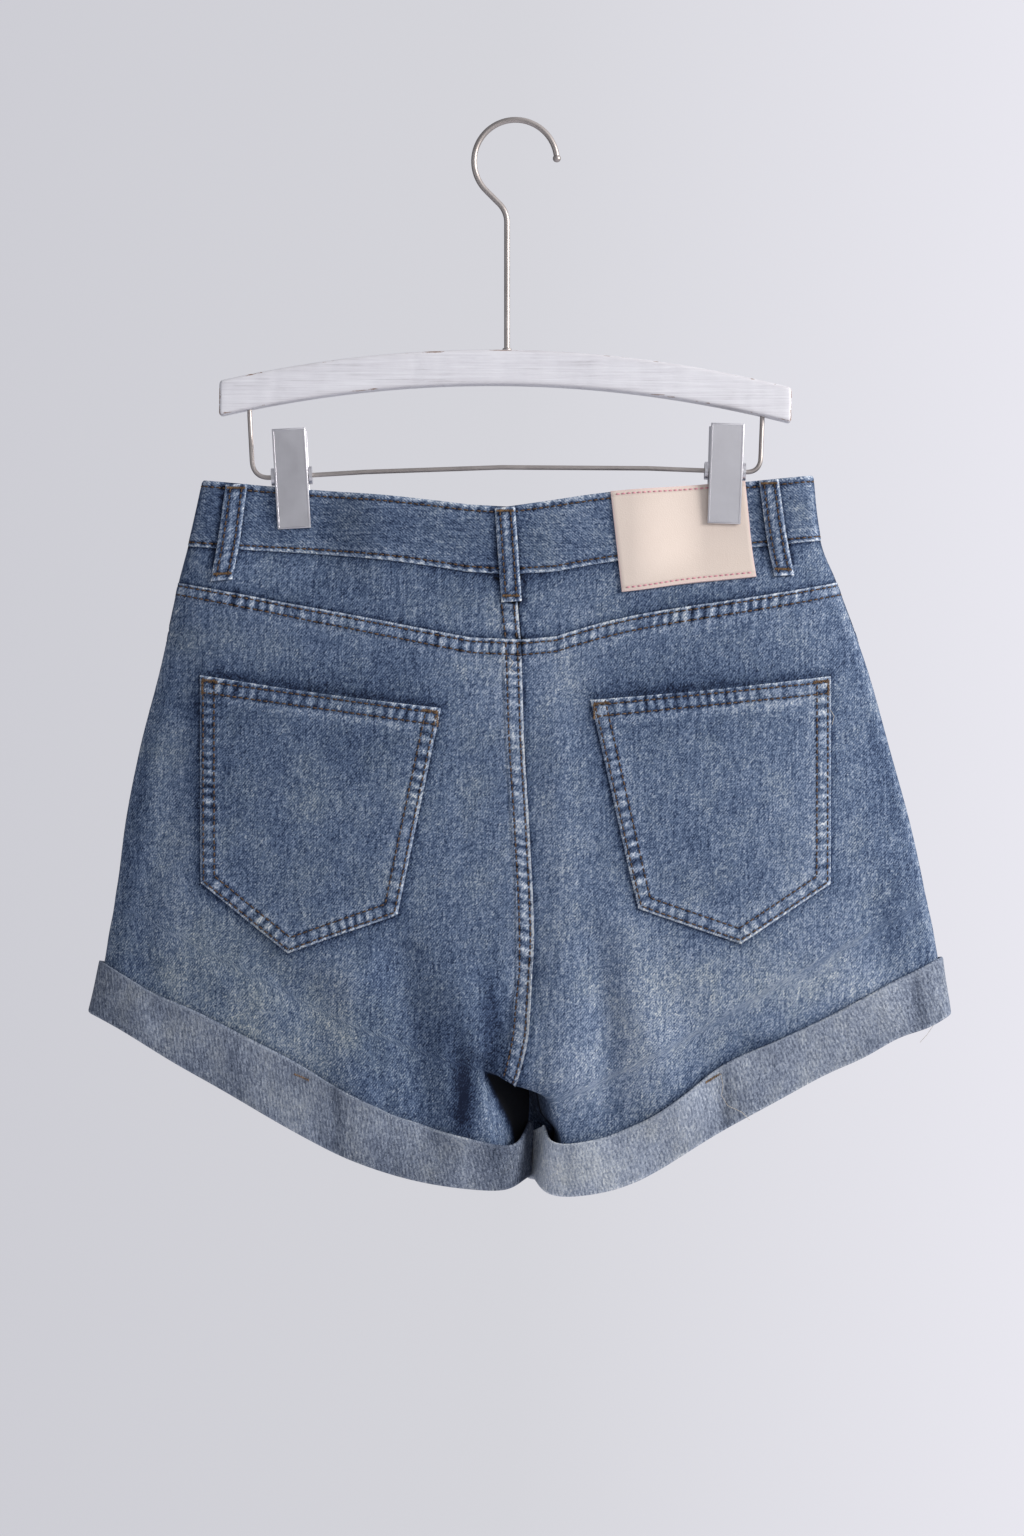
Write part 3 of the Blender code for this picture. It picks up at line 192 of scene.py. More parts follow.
# Folds and creases of each face: x0, z0, x1, z1, half width, height (a trough is negative).
FOLDS = {
    BACK: (
        (-203, -330, -207, -440, 11, -1.6),
        (-222, -440, -224, -505, 10, -1.5),
        (-165, -482, -111, -530, 14, -1.8),
        (-97, -515, -94, -600, 16, 3),
        (-68, -500, -52, -605, 14, -4),
        (-32, -520, -23, -550, 12, 3),
        (4, -510, -24, -568, 12, -4),
        (28, -380, 30, -560, 14, 2),
        (52, -491, 54, -590, 13, -3),
        (56, -480, 92, -590, 16, 3),
        (215, -470, 222, -505, 12, -1.6)),
    FRONT: (
        (-30, -440, -120, -425, 14, 1.8),
        (-28, -470, -110, -470, 14, -1.8),
        (-60, -500, -70, -600, 16, 2.5),
        (28, -445, 118, -428, 14, 1.8),
        (30, -475, 112, -478, 14, -1.8),
        (64, -505, 78, -600, 16, 2.5)),
}
CREASES = {
    BACK: (
        (-150, -290, -120, -302, 7, -0.5),
        (-60, -296, -30, -300, 8, 0.5),
        (-190, -505, -150, -528, 7, 0.6),
        (-150, -500, -120, -545, 6, -0.5),
        (-84, -540, -76, -600, 6, -0.7),
        (-44, -545, -36, -590, 6, 0.8),
        (-14, -560, -34, -580, 5, -0.8),
        (40, -520, 46, -585, 6, 0.7),
        (76, -560, 96, -600, 7, -0.6),
        (110, -520, 150, -548, 9, 0.5),
        (168, -505, 190, -540, 9, -0.5),
        (36, -330, 34, -420, 6, -0.4),
        (-34, -340, -30, -450, 7, -0.4)),
    FRONT: (
        (-34, -452, -96, -446, 5, -0.8),
        (-30, -490, -84, -498, 6, 0.7),
        (34, -458, 92, -450, 5, -0.8),
        (32, -494, 88, -502, 6, 0.7),
        (-150, -520, -120, -570, 9, -0.7),
        (150, -515, 124, -566, 9, -0.7)),
}

CLIP_X = {"L": -134.7, "R": 127.2}
PINCH_FLAT = 13
PINCH_FADE = 58
PINCH_TOP_T = -12
PINCH_END_T = 36

# Outlines as x and z. Pockets run top outer, top inner, low inner, point, low outer.
POCKETS = {
    "L": ((-187.2, -332.4), (-44, -352.2), (-69.6, -474.6), (-134.4, -497.4), (-186.6, -456)),
    "R": ((187.8, -333), (44.8, -347.4), (72.6, -471), (133.8, -492), (187.2, -456.6)),
}
PATCH = ((57, -222.6), (138, -215.4), (144, -274.8), (63.6, -283.2))
LOOPS = {
    "belt_loop_back_L": (BACK, -167.1, -217.8, -174.9, -276, 12.6),
    "belt_loop_back_centre": (BACK, -6, -232.4, -2.1, -288.9, 12.3),
    "belt_loop_back_R": (BACK, 152.4, -215, 160.5, -273.6, 11.7),
    "belt_loop_front_L": (FRONT, -78, -239, -82, -297, 12.4),
    "belt_loop_front_R": (FRONT, 74, -236.5, 79, -294.5, 12.4),
}
FLY_WIDTH = 36
FLY_END_T = 150
POCKET_BASE = WALL_OUT + 0.15
POCKET_SEED = {"L": 0.4, "R": 7.7}

# Soft fades of the cloth, with painted shade where it lies in shadow and painted light where it
#  is lit: x, z, half width, half height, tone (dark is negative), warmth.
WASH_LIGHT_AND_SHADE = {
    BACK: (
        (135, -522, 85, 36, 0.95, 0.35),
        (32, -437, 14, 85, 0.55, 0.1),
        (72, -512, 18, 60, 0.5, 0.1),
        (224, -400, 14, 90, -0.4, 0),
        (56, -575, 9, 24, -0.5, 0),
        (-183, -503, 52, 30, 0.45, 0.8),
        (-125, -545, 60, 30, 0.5, 0.6),
        (-213, -385, 8, 75, 0.55, 0.3),
        (-200, -450, 9, 110, 0.6, 0.1),
        (-177, -400, 10, 50, -0.6, 0),
        (-165, -545, 40, 20, 0.7, 0.2),
        (32, -340, 22, 24, 0.9, 0),
        (-80, -372, 40, 18, -0.6, 0),
        (-27, -407, 16, 85, 0.3, 0.2),
        (-52, -560, 22, 45, -0.8, 0),
        (-86, -545, 12, 40, -0.7, 0.1),
        # Painted shade down the trough to the crotch and in its black hollow, and a painted lit
        # strip on  the inner thigh below it.
        (-14, -530, 8, 28, -1.6, 0),
        (-8, -556, 9, 18, -1.4, 0),
        (-30.5, -580, 6.5, 27, -4, 0),
        (-20, -596, 4, 16, 0.6, 0),
        (-100, -540, 8, 24, 0.6, 0.2),
        (36, -560, 26, 34, 1, 0),
        (92, -545, 22, 26, 0.6, 0.1),
        (150, -552, 30, 16, -0.5, 0),
        (225, -490, 14, 30, -0.5, 0),
        # Painted shadow along the back pockets' top edges.
        (95, -350, 60, 22, -0.7, 0),
        (-170, -350, 40, 16, -0.7, 0),
        (-95, -345, 40, 14, -0.7, 0),
        (-20, -345, 20, 20, 0.5, 0),
        (-24, -275, 30, 16, -0.5, 0),
        (-111, -283, 60, 10, -0.35, 0),
        (-20, -290, 26, 10, 0.1, 0.2),
        (40, -290, 22, 12, 0.35, 0),
        # Painted shadow under the leather patch.
        (110, -288, 50, 8, -0.5, 0),
        (-100, -236, 40, 12, -0.15, 0),
        (-40, -254, 26, 8, 0.35, 0.3),
        (-120, -258, 30, 7, 0.2, 0.4),
        (36, -240, 16, 14, 0.8, 0),
        (165, -236, 16, 16, 0.4, 0),
        # Painted shadow beside the centre belt loop, at the waist seam.
        (-13, -272, 5, 7, -0.9, 0),
        (9, -272, 5, 7, -0.9, 0),
        (-190, -310, 20, 14, 0.2, 0.5),
        (175, -420, 30, 85, 0.5, 0),
        (62, -489, 16, 26, 0.3, 0),
        (62, -575, 32, 20, 0.85, 0),
        (-103, -516, 15, 15, 0.7, 0),
        (-140, -562, 26, 12, 0.6, 0),
        (16, -425, 12, 50, 0.45, 0),
        (212, -518, 26, 18, 0.8, 0),
        (-110, -410, 60, 70, 0, 0.25)),
    FRONT: (
        (-110, -430, 45, 80, 0.8, 0.2),
        (112, -430, 45, 80, 0.8, 0.2),
        (-20, -330, 20, 60, -0.2, 0),
        (20, -500, 30, 60, -0.3, 0),
        (-190, -400, 20, 100, -0.3, 0),
        (195, -400, 20, 100, -0.2, 0),
        (0, -570, 30, 25, -0.8, 0)),
}

# How far the cuffs' edges wander from their level line: x, half width, rise of the top, of the hem.
CUFF_WANDER = {
    "L": ((-222, 22, -3.3, 0), (-205, 26, 0, -1.6), (-144, 36, 3, 0),
          (-72, 20, -2.2, 0)),
    "R": ((53, 12, -2, 0), (121, 27, 7, 0), (111, 36, 0, 5),
          (145, 42, 3, 2.2),
          (210, 20, 0, -3.4), (250, 20, 0, -7)),
}

# Lighter and darker stretches of the cuffs, partly fading and partly painted light and shade:
#  x, half width, tone.
CUFF_WASH_LIGHT_AND_SHADE = {"L": ((-58, 16, -0.2), (-32, 9, 0.4), (-8, 9, -0.6), (-130, 20, 0.35)),
              "R": ((20, 12, 0.8), (139, 20, -0.75))}

# Dents of the rolled cuffs' outside on the back: x0, z0, x1, z1, half width, height.
CUFF_DENTS = (
    (-106, -578, -105, -612, 3.2, -1.1),
    (-116, -606, -104, -618, 7, -1),
    (-237, -538, -230, -548, 7, -1.2),
    (-222, -526, -216, -545, 5, 0.6),
    (-160, -560, -156, -582, 8, 0.7),
    (-60, -602, -56, -630, 9, 0.8),
    (-38, -612, -36, -632, 6, -0.7),
    (33, -612, 34, -638, 4.5, -1.3),
    (50, -616, 54, -636, 8, 0.8),
    (88, -594, 90, -618, 8, -0.6),
    (122, -570, 124, -604, 3.4, -1.5),
    (136, -566, 140, -596, 8, 0.8),
    (180, -548, 184, -572, 9, -0.5),
    (238, -514, 241, -542, 4, -1.2),
    (224, -520, 226, -548, 7, 0.6))

# ---- the garment surface


def smooth(value, low, high):
    """A soft step from 0 at low to 1 at high."""
    share = np.clip((value - low) / (high - low), 0, 1)
    return share * share * (3 - 2 * share)


def bell(value, width):
    return np.exp(-(value / width) ** 2)


def joined(*parts):
    """Values side by side on a last axis."""
    return np.stack(np.broadcast_arrays(*parts), axis=-1)


def read_levels(rows, t):
    """The rows of a level table read at t, by a cubic that never overshoots."""
    levels = np.array(LEVEL_T)
    values = np.array(rows, dtype=float)
    steps = np.diff(levels)[:, None]
    rises = np.diff(values, axis=0) / steps
    slopes = np.zeros_like(values)
    slopes[0] = rises[0]
    slopes[-1] = rises[-1]
    above = rises[:-1]
    below = rises[1:]
    same_way = above * below > 0
    mean = 2 * above * below / np.where(same_way, above + below, 1)
    slopes[1:-1] = np.where(same_way, mean, 0)
    slopes_above = slopes.copy()
    slopes_above[CROTCH] = rises[CROTCH - 1]
    slopes[CROTCH] = rises[CROTCH]
    i = np.clip(np.searchsorted(levels, t) - 1, 0, len(levels) - 2)
    step = steps[i]
    u = ((t - levels[i]) / step[..., 0])[..., None]
    return (values[i] * (1 + 2 * u) * (1 - u) ** 2 + slopes[i] * step * u * (1 - u) ** 2
            + values[i + 1] * u * u * (3 - 2 * u)
            + slopes_above[i + 1] * step * u * u * (u - 1))


def from_stretch(x, z, x0, z0, x1, z1):
    """Distance from the straight stretch between two points."""
    along_x, along_z = x1 - x0, z1 - z0
    share = ((x - x0) * along_x + (z - z0) * along_z) / (along_x ** 2 + along_z ** 2)
    share = np.clip(share, 0, 1)
    return np.hypot(x - x0 - share * along_x, z - z0 - share * along_z)


def line_heights(table, x, z):
    """Sum of the soft troughs and ridges of a table at x and z."""
    return sum(height * bell(from_stretch(x, z, *ends), half_width)
               for *ends, half_width, height in table)


def width_share(q):
    return 1 - np.cos(np.clip(q / CORNER_Q, 0, 1) * math.pi / 2)


def section_point(face, side, row, fold_side, q, t):
    """A point of one face, from the row of its section and the side fold there."""
    corner_x, corner_z, seam_x, seam_y, seam_z, depth, bow = np.moveaxis(row, -1, 0)
    side_x, side_z = np.moveaxis(fold_side, -1, 0)
    angle = np.clip(q / CORNER_Q, 0, 1) * math.pi / 2
    inner = np.clip((q - CORNER_Q) / (1 - CORNER_Q), 0, 1)
    share = 1 - np.cos(angle)
    x = side_x + (corner_x - side_x) * share + (seam_x - corner_x) * inner
    z = side_z + (corner_z - side_z) * share + (seam_z - corner_z) * inner
    z = z - bow * np.sin(math.pi * share ** BOW_SKEW[side])
    y = face * depth * np.sin(angle) + (seam_y - face * depth) * inner
    below_seat = smooth(t, 268, 292)
    spare = smooth(q, 0.08, 0.3) * (1 - below_seat * smooth(inner, 0.1, 0.9))
    folds = line_heights(FOLDS[face] + CREASES[face], x, z)
    y = y + face * folds * spare
    for clip_x in CLIP_X.values():
        across = 1 - smooth(np.abs(x - clip_x), PINCH_FLAT, PINCH_FADE)
        pinch = across * (1 - smooth(t, PINCH_TOP_T, PINCH_END_T))
        y = y * (1 - pinch) + face * 0.1 * pinch
    return joined(x, y, z)


def body_point(face, side, q, t):
    row = read_levels(FACES[face, side], t)
    return section_point(face, side, row, read_levels(SIDE_FOLD[side], t), q, t)


def cuff_point(face, side, q, t):
    """The cuff runs straight from its own top row to the leg's hem."""
    down = ((t - TOP_T) / (HEM_T - TOP_T))[..., None]
    row = np.array(CUFF_TOP[face, side]) * (1 - down) + np.array(FACES[face, side][-1]) * down
    fold_side = (np.array(SIDE_FOLD[side][-2]) * (1 - down)
                 + np.array(SIDE_FOLD[side][-1]) * down)
    return section_point(face, side, row, fold_side, q, t)


def wrapped(point, face, side, q, t):
    """The point for any q: past the side fold or the inseam lies the other face, and past the
    centre seam the other side."""
    result = point(face, side, np.clip(q, 0, 1), t)
    past_fold = q < 0
    past_centre = (q > 1) & (t <= CROTCH_T)
    past_inseam = (q > 1) & (t > CROTCH_T)
    for mask, other_face, other_side in ((past_fold, -face, side),
                                         (past_centre, face, OTHER_SIDE[side]),
                                         (past_inseam, -face, side)):
        if mask.any():
            other_q = np.where(q < 0, -q, 2 - q)[mask]
            result[mask] = point(other_face, other_side, other_q, t[mask])
    return result


def unit(vectors):
    return vectors / np.linalg.norm(vectors, axis=-1)[..., None]


def placed(point, face, side, q, t, offset):
    """Points at an offset, outwards, from the surface."""
    q, t, offset = np.broadcast_arrays(*(np.asarray(v, dtype=float) for v in (q, t, offset)))
    dq = 0.004
    dt = 0.8
    low_t = np.where(t > CROTCH_T, np.maximum(t - dt, CROTCH_T), t - dt)
    high_t = np.where(t > CROTCH_T, t + dt, np.minimum(t + dt, CROTCH_T))
    here = wrapped(point, face, side, q, t)
    across = (unit(wrapped(point, face, side, q + dq, t) - here)
              + unit(here - wrapped(point, face, side, q - dq, t)))
    mitre = np.minimum(2 / np.linalg.norm(across, axis=-1), MITRE_LIMIT)
    down = wrapped(point, face, side, q, high_t) - wrapped(point, face, side, q, low_t)
    normal = unit(np.cross(across, down)) * face * (1 if side == "L" else -1)
    at_crotch = (smooth(q, 0.93, 1) * (1 - smooth(np.abs(t - CROTCH_T), 0, 4)))[..., None]
    normal = unit(normal * (1 - at_crotch) + np.array((0, 0, -1)) * at_crotch)
    if point is body_point:
        offset = offset - INNER_SINK * smooth(q, 0.76, 0.88) * smooth(t, 283, 295)
    return here + normal * (offset * mitre)[..., None]


def body_walls(face, side, q, t, *offsets):
    """Points of the garment's surface at each of the offsets."""
    return [placed(body_point, face, side, q, t, offset) for offset in offsets]


def inner_length(face, side, t):
    """Distance from the corner line to the centre seam or the inseam."""
    t = np.asarray(t, dtype=float)
    corner = body_point(face, side, np.full_like(t, CORNER_Q), t)
    return np.linalg.norm(body_point(face, side, np.ones_like(t), t) - corner, axis=-1)


def panel_width(face, side, t):
    corner_x = read_levels(FACES[face, side], t)[..., 0]
    return np.abs(corner_x - read_levels(SIDE_FOLD[side], t)[..., 0])


def front_width(side):
    """Width of a front panel at the waist."""
    return panel_width(FRONT, side, np.zeros(1))[0]


def from_seam(face, side, q, t):
    """Distance of a point from the centre seam or the inseam."""
    inner = inner_length(face, side, t) * np.clip((1 - q) / (1 - CORNER_Q), 0, 1)
    return inner + panel_width(face, side, t) * (1 - width_share(q))


def from_side(face, side, q, t):
    """Distance of a point from the side fold."""
    depth = read_levels(FACES[face, side], t)[..., 5]
    angle = np.clip(q / CORNER_Q, 0, 1) * math.pi / 2
    return np.hypot(panel_width(face, side, t) * width_share(q), depth * np.sin(angle))


def q_from_seam(face, side, t, distance):
    """q at a distance from the centre seam or the inseam."""
    t = np.asarray(t, dtype=float)
    inner = inner_length(face, side, t)
    near = 1 - (1 - CORNER_Q) * np.minimum(distance / inner, 1)
    spare = np.maximum(distance - inner, 0) / panel_width(face, side, t)
    far = CORNER_Q * np.arccos(np.clip(spare, 0, 1)) / (math.pi / 2)
    return np.where(spare > 0, far, near)


def q_of_share(share):
    return CORNER_Q * np.arccos(np.clip(1 - np.asarray(share), -1, 1)) / (math.pi / 2)


def located(face, x, z):
    """Side, q and t of the points of one face that have the given x and z."""
    seam = np.array(FACES[face, "L"])[:8]
    seam_x = np.interp(-z, -seam[:, 4], seam[:, 2])
    found = {}
    for side in SIDES:
        t = np.interp(-z, -np.array(FACES[face, side])[:, 1], LEVEL_T)
        q = np.full_like(x, 0.6)
        for _ in range(14):
            here = body_point(face, side, q, t)
            dq = 0.002
            dt = 0.5
            by_q = (body_point(face, side, q + dq, t) - here) / dq
            by_t = (body_point(face, side, q, t + dt) - here) / dt
            miss_x = x - here[..., 0]
            miss_z = z - here[..., 2]
            scale = by_q[..., 0] * by_t[..., 2] - by_q[..., 2] * by_t[..., 0]
            step_q = (miss_x * by_t[..., 2] - miss_z * by_t[..., 0]) / scale
            step_t = (by_q[..., 0] * miss_z - by_q[..., 2] * miss_x) / scale
            q = np.clip(q + np.clip(step_q, -0.15, 0.15), 0.02, 0.997)
            t = np.clip(t + np.clip(step_t, -30, 30), -46, 371)
        found[side] = (q, t)
    return x < seam_x, found


def laid(face, x, z, *offsets):
    """Points at each offset from one face, above the given x and z."""
    x, z = np.broadcast_arrays(np.asarray(x, dtype=float), np.asarray(z, dtype=float))
    on_left, found = located(face, x, z)
    results = []
    for offset in offsets:
        offset = np.broadcast_to(np.asarray(offset, dtype=float), x.shape)
        left = placed(body_point, face, "L", *found["L"], offset)
        right = placed(body_point, face, "R", *found["R"], offset)
        results.append(np.where(on_left[..., None], left, right))
    return results


# ---- sewn edges, fading, and painted light and shade


def rope(s, seed, pitch=6.4):
    """Uneven humps along a sewn edge, from -1 to 1."""
    wobble = 1.7 * np.sin(s / 17 + seed) + 1 * np.sin(s / 7.3 + 2.1 * seed)
    size = 0.62 + 0.26 * np.sin(s / 23 + 3 * seed) + 0.2 * np.sin(s / 9.1 + seed)
    return size * np.sin(2 * math.pi * s / pitch + wobble) + 0.2 * np.sin(s / 2.7 + 5 * seed)


def sewn_edge(d, s, rows, width, seed, slant=0.12, strength=1):
    """Height, wear with painted highlights, and darker dye with painted shade, at a distance d
    inside a sewn edge, s along it.
    """
    inside = smooth(d, 0.2, 1.2) * (1 - smooth(d, width - 1, width + 0.8))
    hump = rope(s + slant * d, seed)
    height = 0.2 * hump * inside
    dye_and_shade = 1.1 * inside * np.clip(-hump, 0, 1)
    # Each row's groove gets painted shade.
    for row in rows:
        height = height - 0.3 * bell(d - row, 0.75)
        dye_and_shade = dye_and_shade + 0.9 * bell(d - row, 0.9)
    past = smooth(d, width - 0.5, width + 1) * np.exp(-np.maximum(d - width, 0) / 3.5)
    height = height + 0.16 * hump * past
    # The pale line at the very edge is wear with a painted highlight of the raised edge.
    wear_and_highlight = (0.72 * bell(d - 0.5, 0.75) + inside * (0.2 + 0.5 * np.clip(hump, 0, 1))
            + past * (0.26 + 0.12 * hump))
    return height * strength, wear_and_highlight * strength, dye_and_shade * strength


def on_fell(d):
    """1 on a felled strip, and 0 past its edge."""
    return 1 - smooth(d, FELL_WIDTH, FELL_WIDTH + 1)


def shadow_beside_edge(d, s, seed, reach=2.2):
    """Painted shadow on the cloth that lies just outside a sewn edge."""
    return (1 + 0.4 * rope(s, seed)) * np.exp(-np.maximum(d, 0) / reach)


def wash_light_and_shade(face, x, z):
    """Tone and warmth of the fading at x and z, with painted light and shade; the tone is painted
    lighter towards the lamp on the right.
    """
    # x / 1500 is painted light, lighter towards the lamp on the right.
    tone = 0.12 * np.sin(x / 31 + 1.3) * np.sin(z / 27 + 0.4) + x / 1500
    warm = np.zeros_like(x)
    for bx, bz, half_width, half_height, more, warmer in WASH_LIGHT_AND_SHADE[face]:
        spot = np.exp(-((x - bx) / half_width) ** 2 - ((z - bz) / half_height) ** 2)
        tone += more * spot
        warm += warmer * spot
    return tone, warm


def washed_and_shaded(face, points, wear_and_highlight, dye_and_shade):
    """The colour masks of a cloth grid: tone with painted light and shade, wear with painted
    highlights, darker dye with painted shade, and warmth.
    """
    tone, warm = wash_light_and_shade(face, points[..., 0], points[..., 2])
    return joined(0.5 + 0.5 * tone, wear_and_highlight, dye_and_shade, warm)


def ring_of(outline):
    points = np.array(outline)
    return points, np.roll(points, -1, axis=0)


def edge_distance(x, z, start, stop):
    """Signed distance from the line through two points, positive on its right, and way along."""
    way = np.asarray(stop) - np.asarray(start)
    length = np.hypot(*way)
    along = ((x - start[0]) * way[0] + (z - start[1]) * way[1]) / length
    return ((x - start[0]) * way[1] - (z - start[1]) * way[0]) / length, along


def inset(outline, distances):
    """Corners of an outline whose edges are moved in by the given distances."""
    points = np.array(outline, dtype=float)
    centre = points.mean(axis=0)
    lines = []
    for start, stop, distance in zip(points, np.roll(points, -1, axis=0), distances):
        way = unit(stop - start)
        normal = np.array((-way[1], way[0]))
        if np.dot(centre - start, normal) < 0:
            normal = -normal
        lines.append((start + normal * distance, way))
    corners = []
    for (p, u), (r, v) in zip([lines[-1]] + lines[:-1], lines):
        cross = u[0] * v[1] - u[1] * v[0]
        share = ((r[0] - p[0]) * v[1] - (r[1] - p[1]) * v[0]) / cross
        corners.append(p + u * share)
    return np.array(corners)


# ---- meshes


def add_object(name, data):
    item = bpy.data.objects.new(name, data)
    bpy.context.scene.collection.objects.link(item)
    return item


def new_mesh(name, points, faces, materials):
    """A mesh of points given in millimetres."""
    mesh = bpy.data.meshes.new(name)
    mesh.from_pydata((points * MM).tolist(), [], faces)
    for material in materials:
        mesh.materials.append(material)
    return mesh


def add_piece(mesh, sharp, nodes):
    """Makes a mesh a piece of the same name that rides on the one body."""
    mesh.shade_smooth()
    mesh.set_sharp_from_angle(angle=math.radians(sharp))
    item = add_object(mesh.name, mesh)
    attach(item, ROOT)
    if nodes:
        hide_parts(*nodes)
    return item


def put_colour_masks(mesh, colour_masks):
    colours = mesh.color_attributes.new("colour_masks", "FLOAT_COLOR", "POINT")
    colours.data.foreach_set("color", np.ascontiguousarray(colour_masks, dtype=np.float32).ravel())


def signed_volume(points, faces):
    a, b, c, d = (points[faces[:, k]] for k in range(4))
    return (np.cross(a, b) * c).sum() + (np.cross(a, c) * d).sum()


def add_cloth(name, points, faces, materials, picks, uv, colour_masks, nodes):
    """A closed piece of cloth, with the flat place and the colour masks, painted light and shade
    among them, of each of its points.
    """
    if signed_volume(points, faces) < 0:
        faces = faces[:, ::-1]
    mesh = new_mesh(name, points, faces.tolist(), materials)
    mesh.polygons.foreach_set("material_index", picks)
    corner_points = np.empty(len(mesh.loops), dtype=np.int32)
    mesh.loops.foreach_get("vertex_index", corner_points)
    layer = mesh.uv_layers.new(name="cloth")
    layer.data.foreach_set("uv", (uv[corner_points] * MM).ravel())
    put_colour_masks(mesh, colour_masks)
    return add_piece(mesh, CLOTH_SHARP, nodes)


def add_shell(node, outer, inner, uv, colour_masks, materials, tail="_cloth"):
    """A thin closed wall between two grids, in a node's place; the last material is its inside."""
    rows, columns = outer.shape[:2]
    count = rows * columns
    index = np.arange(count).reshape(rows, columns)
    front = joined(index[:-1, :-1], index[:-1, 1:], index[1:, 1:], index[1:, :-1]).reshape(-1, 4)
    rim = np.concatenate([index[0], index[1:, -1], index[-1, -2::-1], index[-2:0:-1, 0]])
    following = np.roll(rim, -1)
    border = joined(following, rim, rim + count, following + count)
    faces = np.concatenate([front, front[:, ::-1] + count, border])
    picks = np.repeat((0, len(materials) - 1, 0), (len(front), len(front), len(border)))
    points, flat, look = (np.concatenate([one.reshape(count, -1), two.reshape(count, -1)])
                          for one, two in ((outer, inner), (uv, uv), (colour_masks, colour_masks)))
    return add_cloth(node + tail, points, faces, materials, picks.astype(np.int32), flat, look,
                     (node,))


def add_ring(name, sections, uv, colour_masks, material, nodes):
    """A ring lofted through closed sections."""
    index = np.arange(uv.shape[0] * uv.shape[1]).reshape(uv.shape[:2])
    following = np.roll(index, -1, axis=0)
    faces = joined(index, np.roll(index, -1, axis=1), np.roll(following, -1, axis=1),
                   following).reshape(-1, 4)
    return add_cloth(name, sections.reshape(-1, 3), faces, (material,),
                     np.zeros(len(faces), dtype=np.int32), uv.reshape(-1, 2), colour_masks.reshape(-1, 4),
                     nodes)


def grid_uv(points, anchor=-1, face=BACK):
    """u along each row from its anchor column, to the right as seen from outside, and v by
    height, both in millimetres."""
    flat = points[..., :2]
    steps = np.linalg.norm(np.diff(flat, axis=1), axis=-1)
    u = np.concatenate([np.zeros((len(points), 1)), np.cumsum(steps, axis=1)], axis=1)
    u = u - u[:, [anchor]]
    way = np.sign(points[:, -1, 0] - points[:, 0, 0])[:, None]
    return joined(-face * (u * way + points[:, [anchor], 0]), points[..., 2])


def along_grain(uv):
    """The same cloth cut with its warp running along the piece instead of down it."""
    return joined(uv[..., 1], -uv[..., 0])


def even_columns(face, side, t, spacing, close=0, close_spacing=1):
    """q evenly spaced along the section at t, closer within a distance of the centre seam."""
    q = np.linspace(0, 1, 3000)
    points = body_point(face, side, q, np.full_like(q, t))
    arc = np.concatenate([[0], np.cumsum(np.linalg.norm(np.diff(points, axis=0), axis=1))])
    length = arc[-1]
    ways = np.linspace(0, length - close, max(2, round((length - close) / spacing) + 1))
    if close:
        near = np.linspace(length - close, length, round(close / close_spacing) + 1)
        ways = np.concatenate([ways, near[1:]])
    return np.interp(ways, arc, q)


def ring_quads(count, around):
    """Numbers of the points of a stack of rings, of those beside them, and the faces between."""
    index = np.arange(count * around).reshape(count, around)
    beside = np.roll(index, -1, axis=1)
    quads = joined(index[:-1], index[1:], beside[1:], beside[:-1])
    return index, beside, quads.reshape(-1, 4).tolist()


def capped(rings):
    """Points and faces of a stack of rings with flat ends."""
    rings = np.asarray(rings)
    index, _, quads = ring_quads(*rings.shape[:2])
    return rings.reshape(-1, 3), quads + [index[0].tolist(), index[-1][::-1].tolist()]


def tube(path, radii, sides=16):
    """Points and faces of a round wire along a path, with closed ends."""
    path = np.asarray(path, dtype=float)
    radii = np.broadcast_to(np.asarray(radii, dtype=float), len(path))
    ways = unit(np.gradient(path, axis=0))
    normal = np.cross(ways[0], (0.31, 0.9, 0.17))
    rings = []
    angles = np.linspace(0, 2 * math.pi, sides, endpoint=False)[:, None]
    for centre, way, radius in zip(path, ways, radii):
        normal = unit(normal - way * np.dot(normal, way))
        side = np.cross(way, normal)
        rings.append(centre + radius * (np.cos(angles) * normal + np.sin(angles) * side))
    points = np.concatenate(rings + [path[:1], path[-1:]])
    index, beside, quads = ring_quads(len(path), sides)
    caps = [(len(points) - 2, a, b) for a, b in zip(index[0], beside[0])]
    caps += [(len(points) - 1, b, a) for a, b in zip(index[-1], beside[-1])]
    return points, quads + caps


def add_parts(name, parts, material, sharp=40, nodes=(), colour_masks=None):
    """One piece from several sets of points and faces."""
    faces, count = [], 0
    for part_points, part_faces in parts:
        faces += [tuple(int(k) + count for k in face) for face in part_faces]
        count += len(part_points)
    mesh = new_mesh(name, np.concatenate([part[0] for part in parts]), faces, (material,))
    bm = bmesh.new()
    bm.from_mesh(mesh)
    bmesh.ops.recalc_face_normals(bm, faces=bm.faces)
    bm.to_mesh(mesh)
    bm.free()
    if colour_masks is not None:
        put_colour_masks(mesh, colour_masks)
    return add_piece(mesh, sharp, nodes)


# ---- shader building


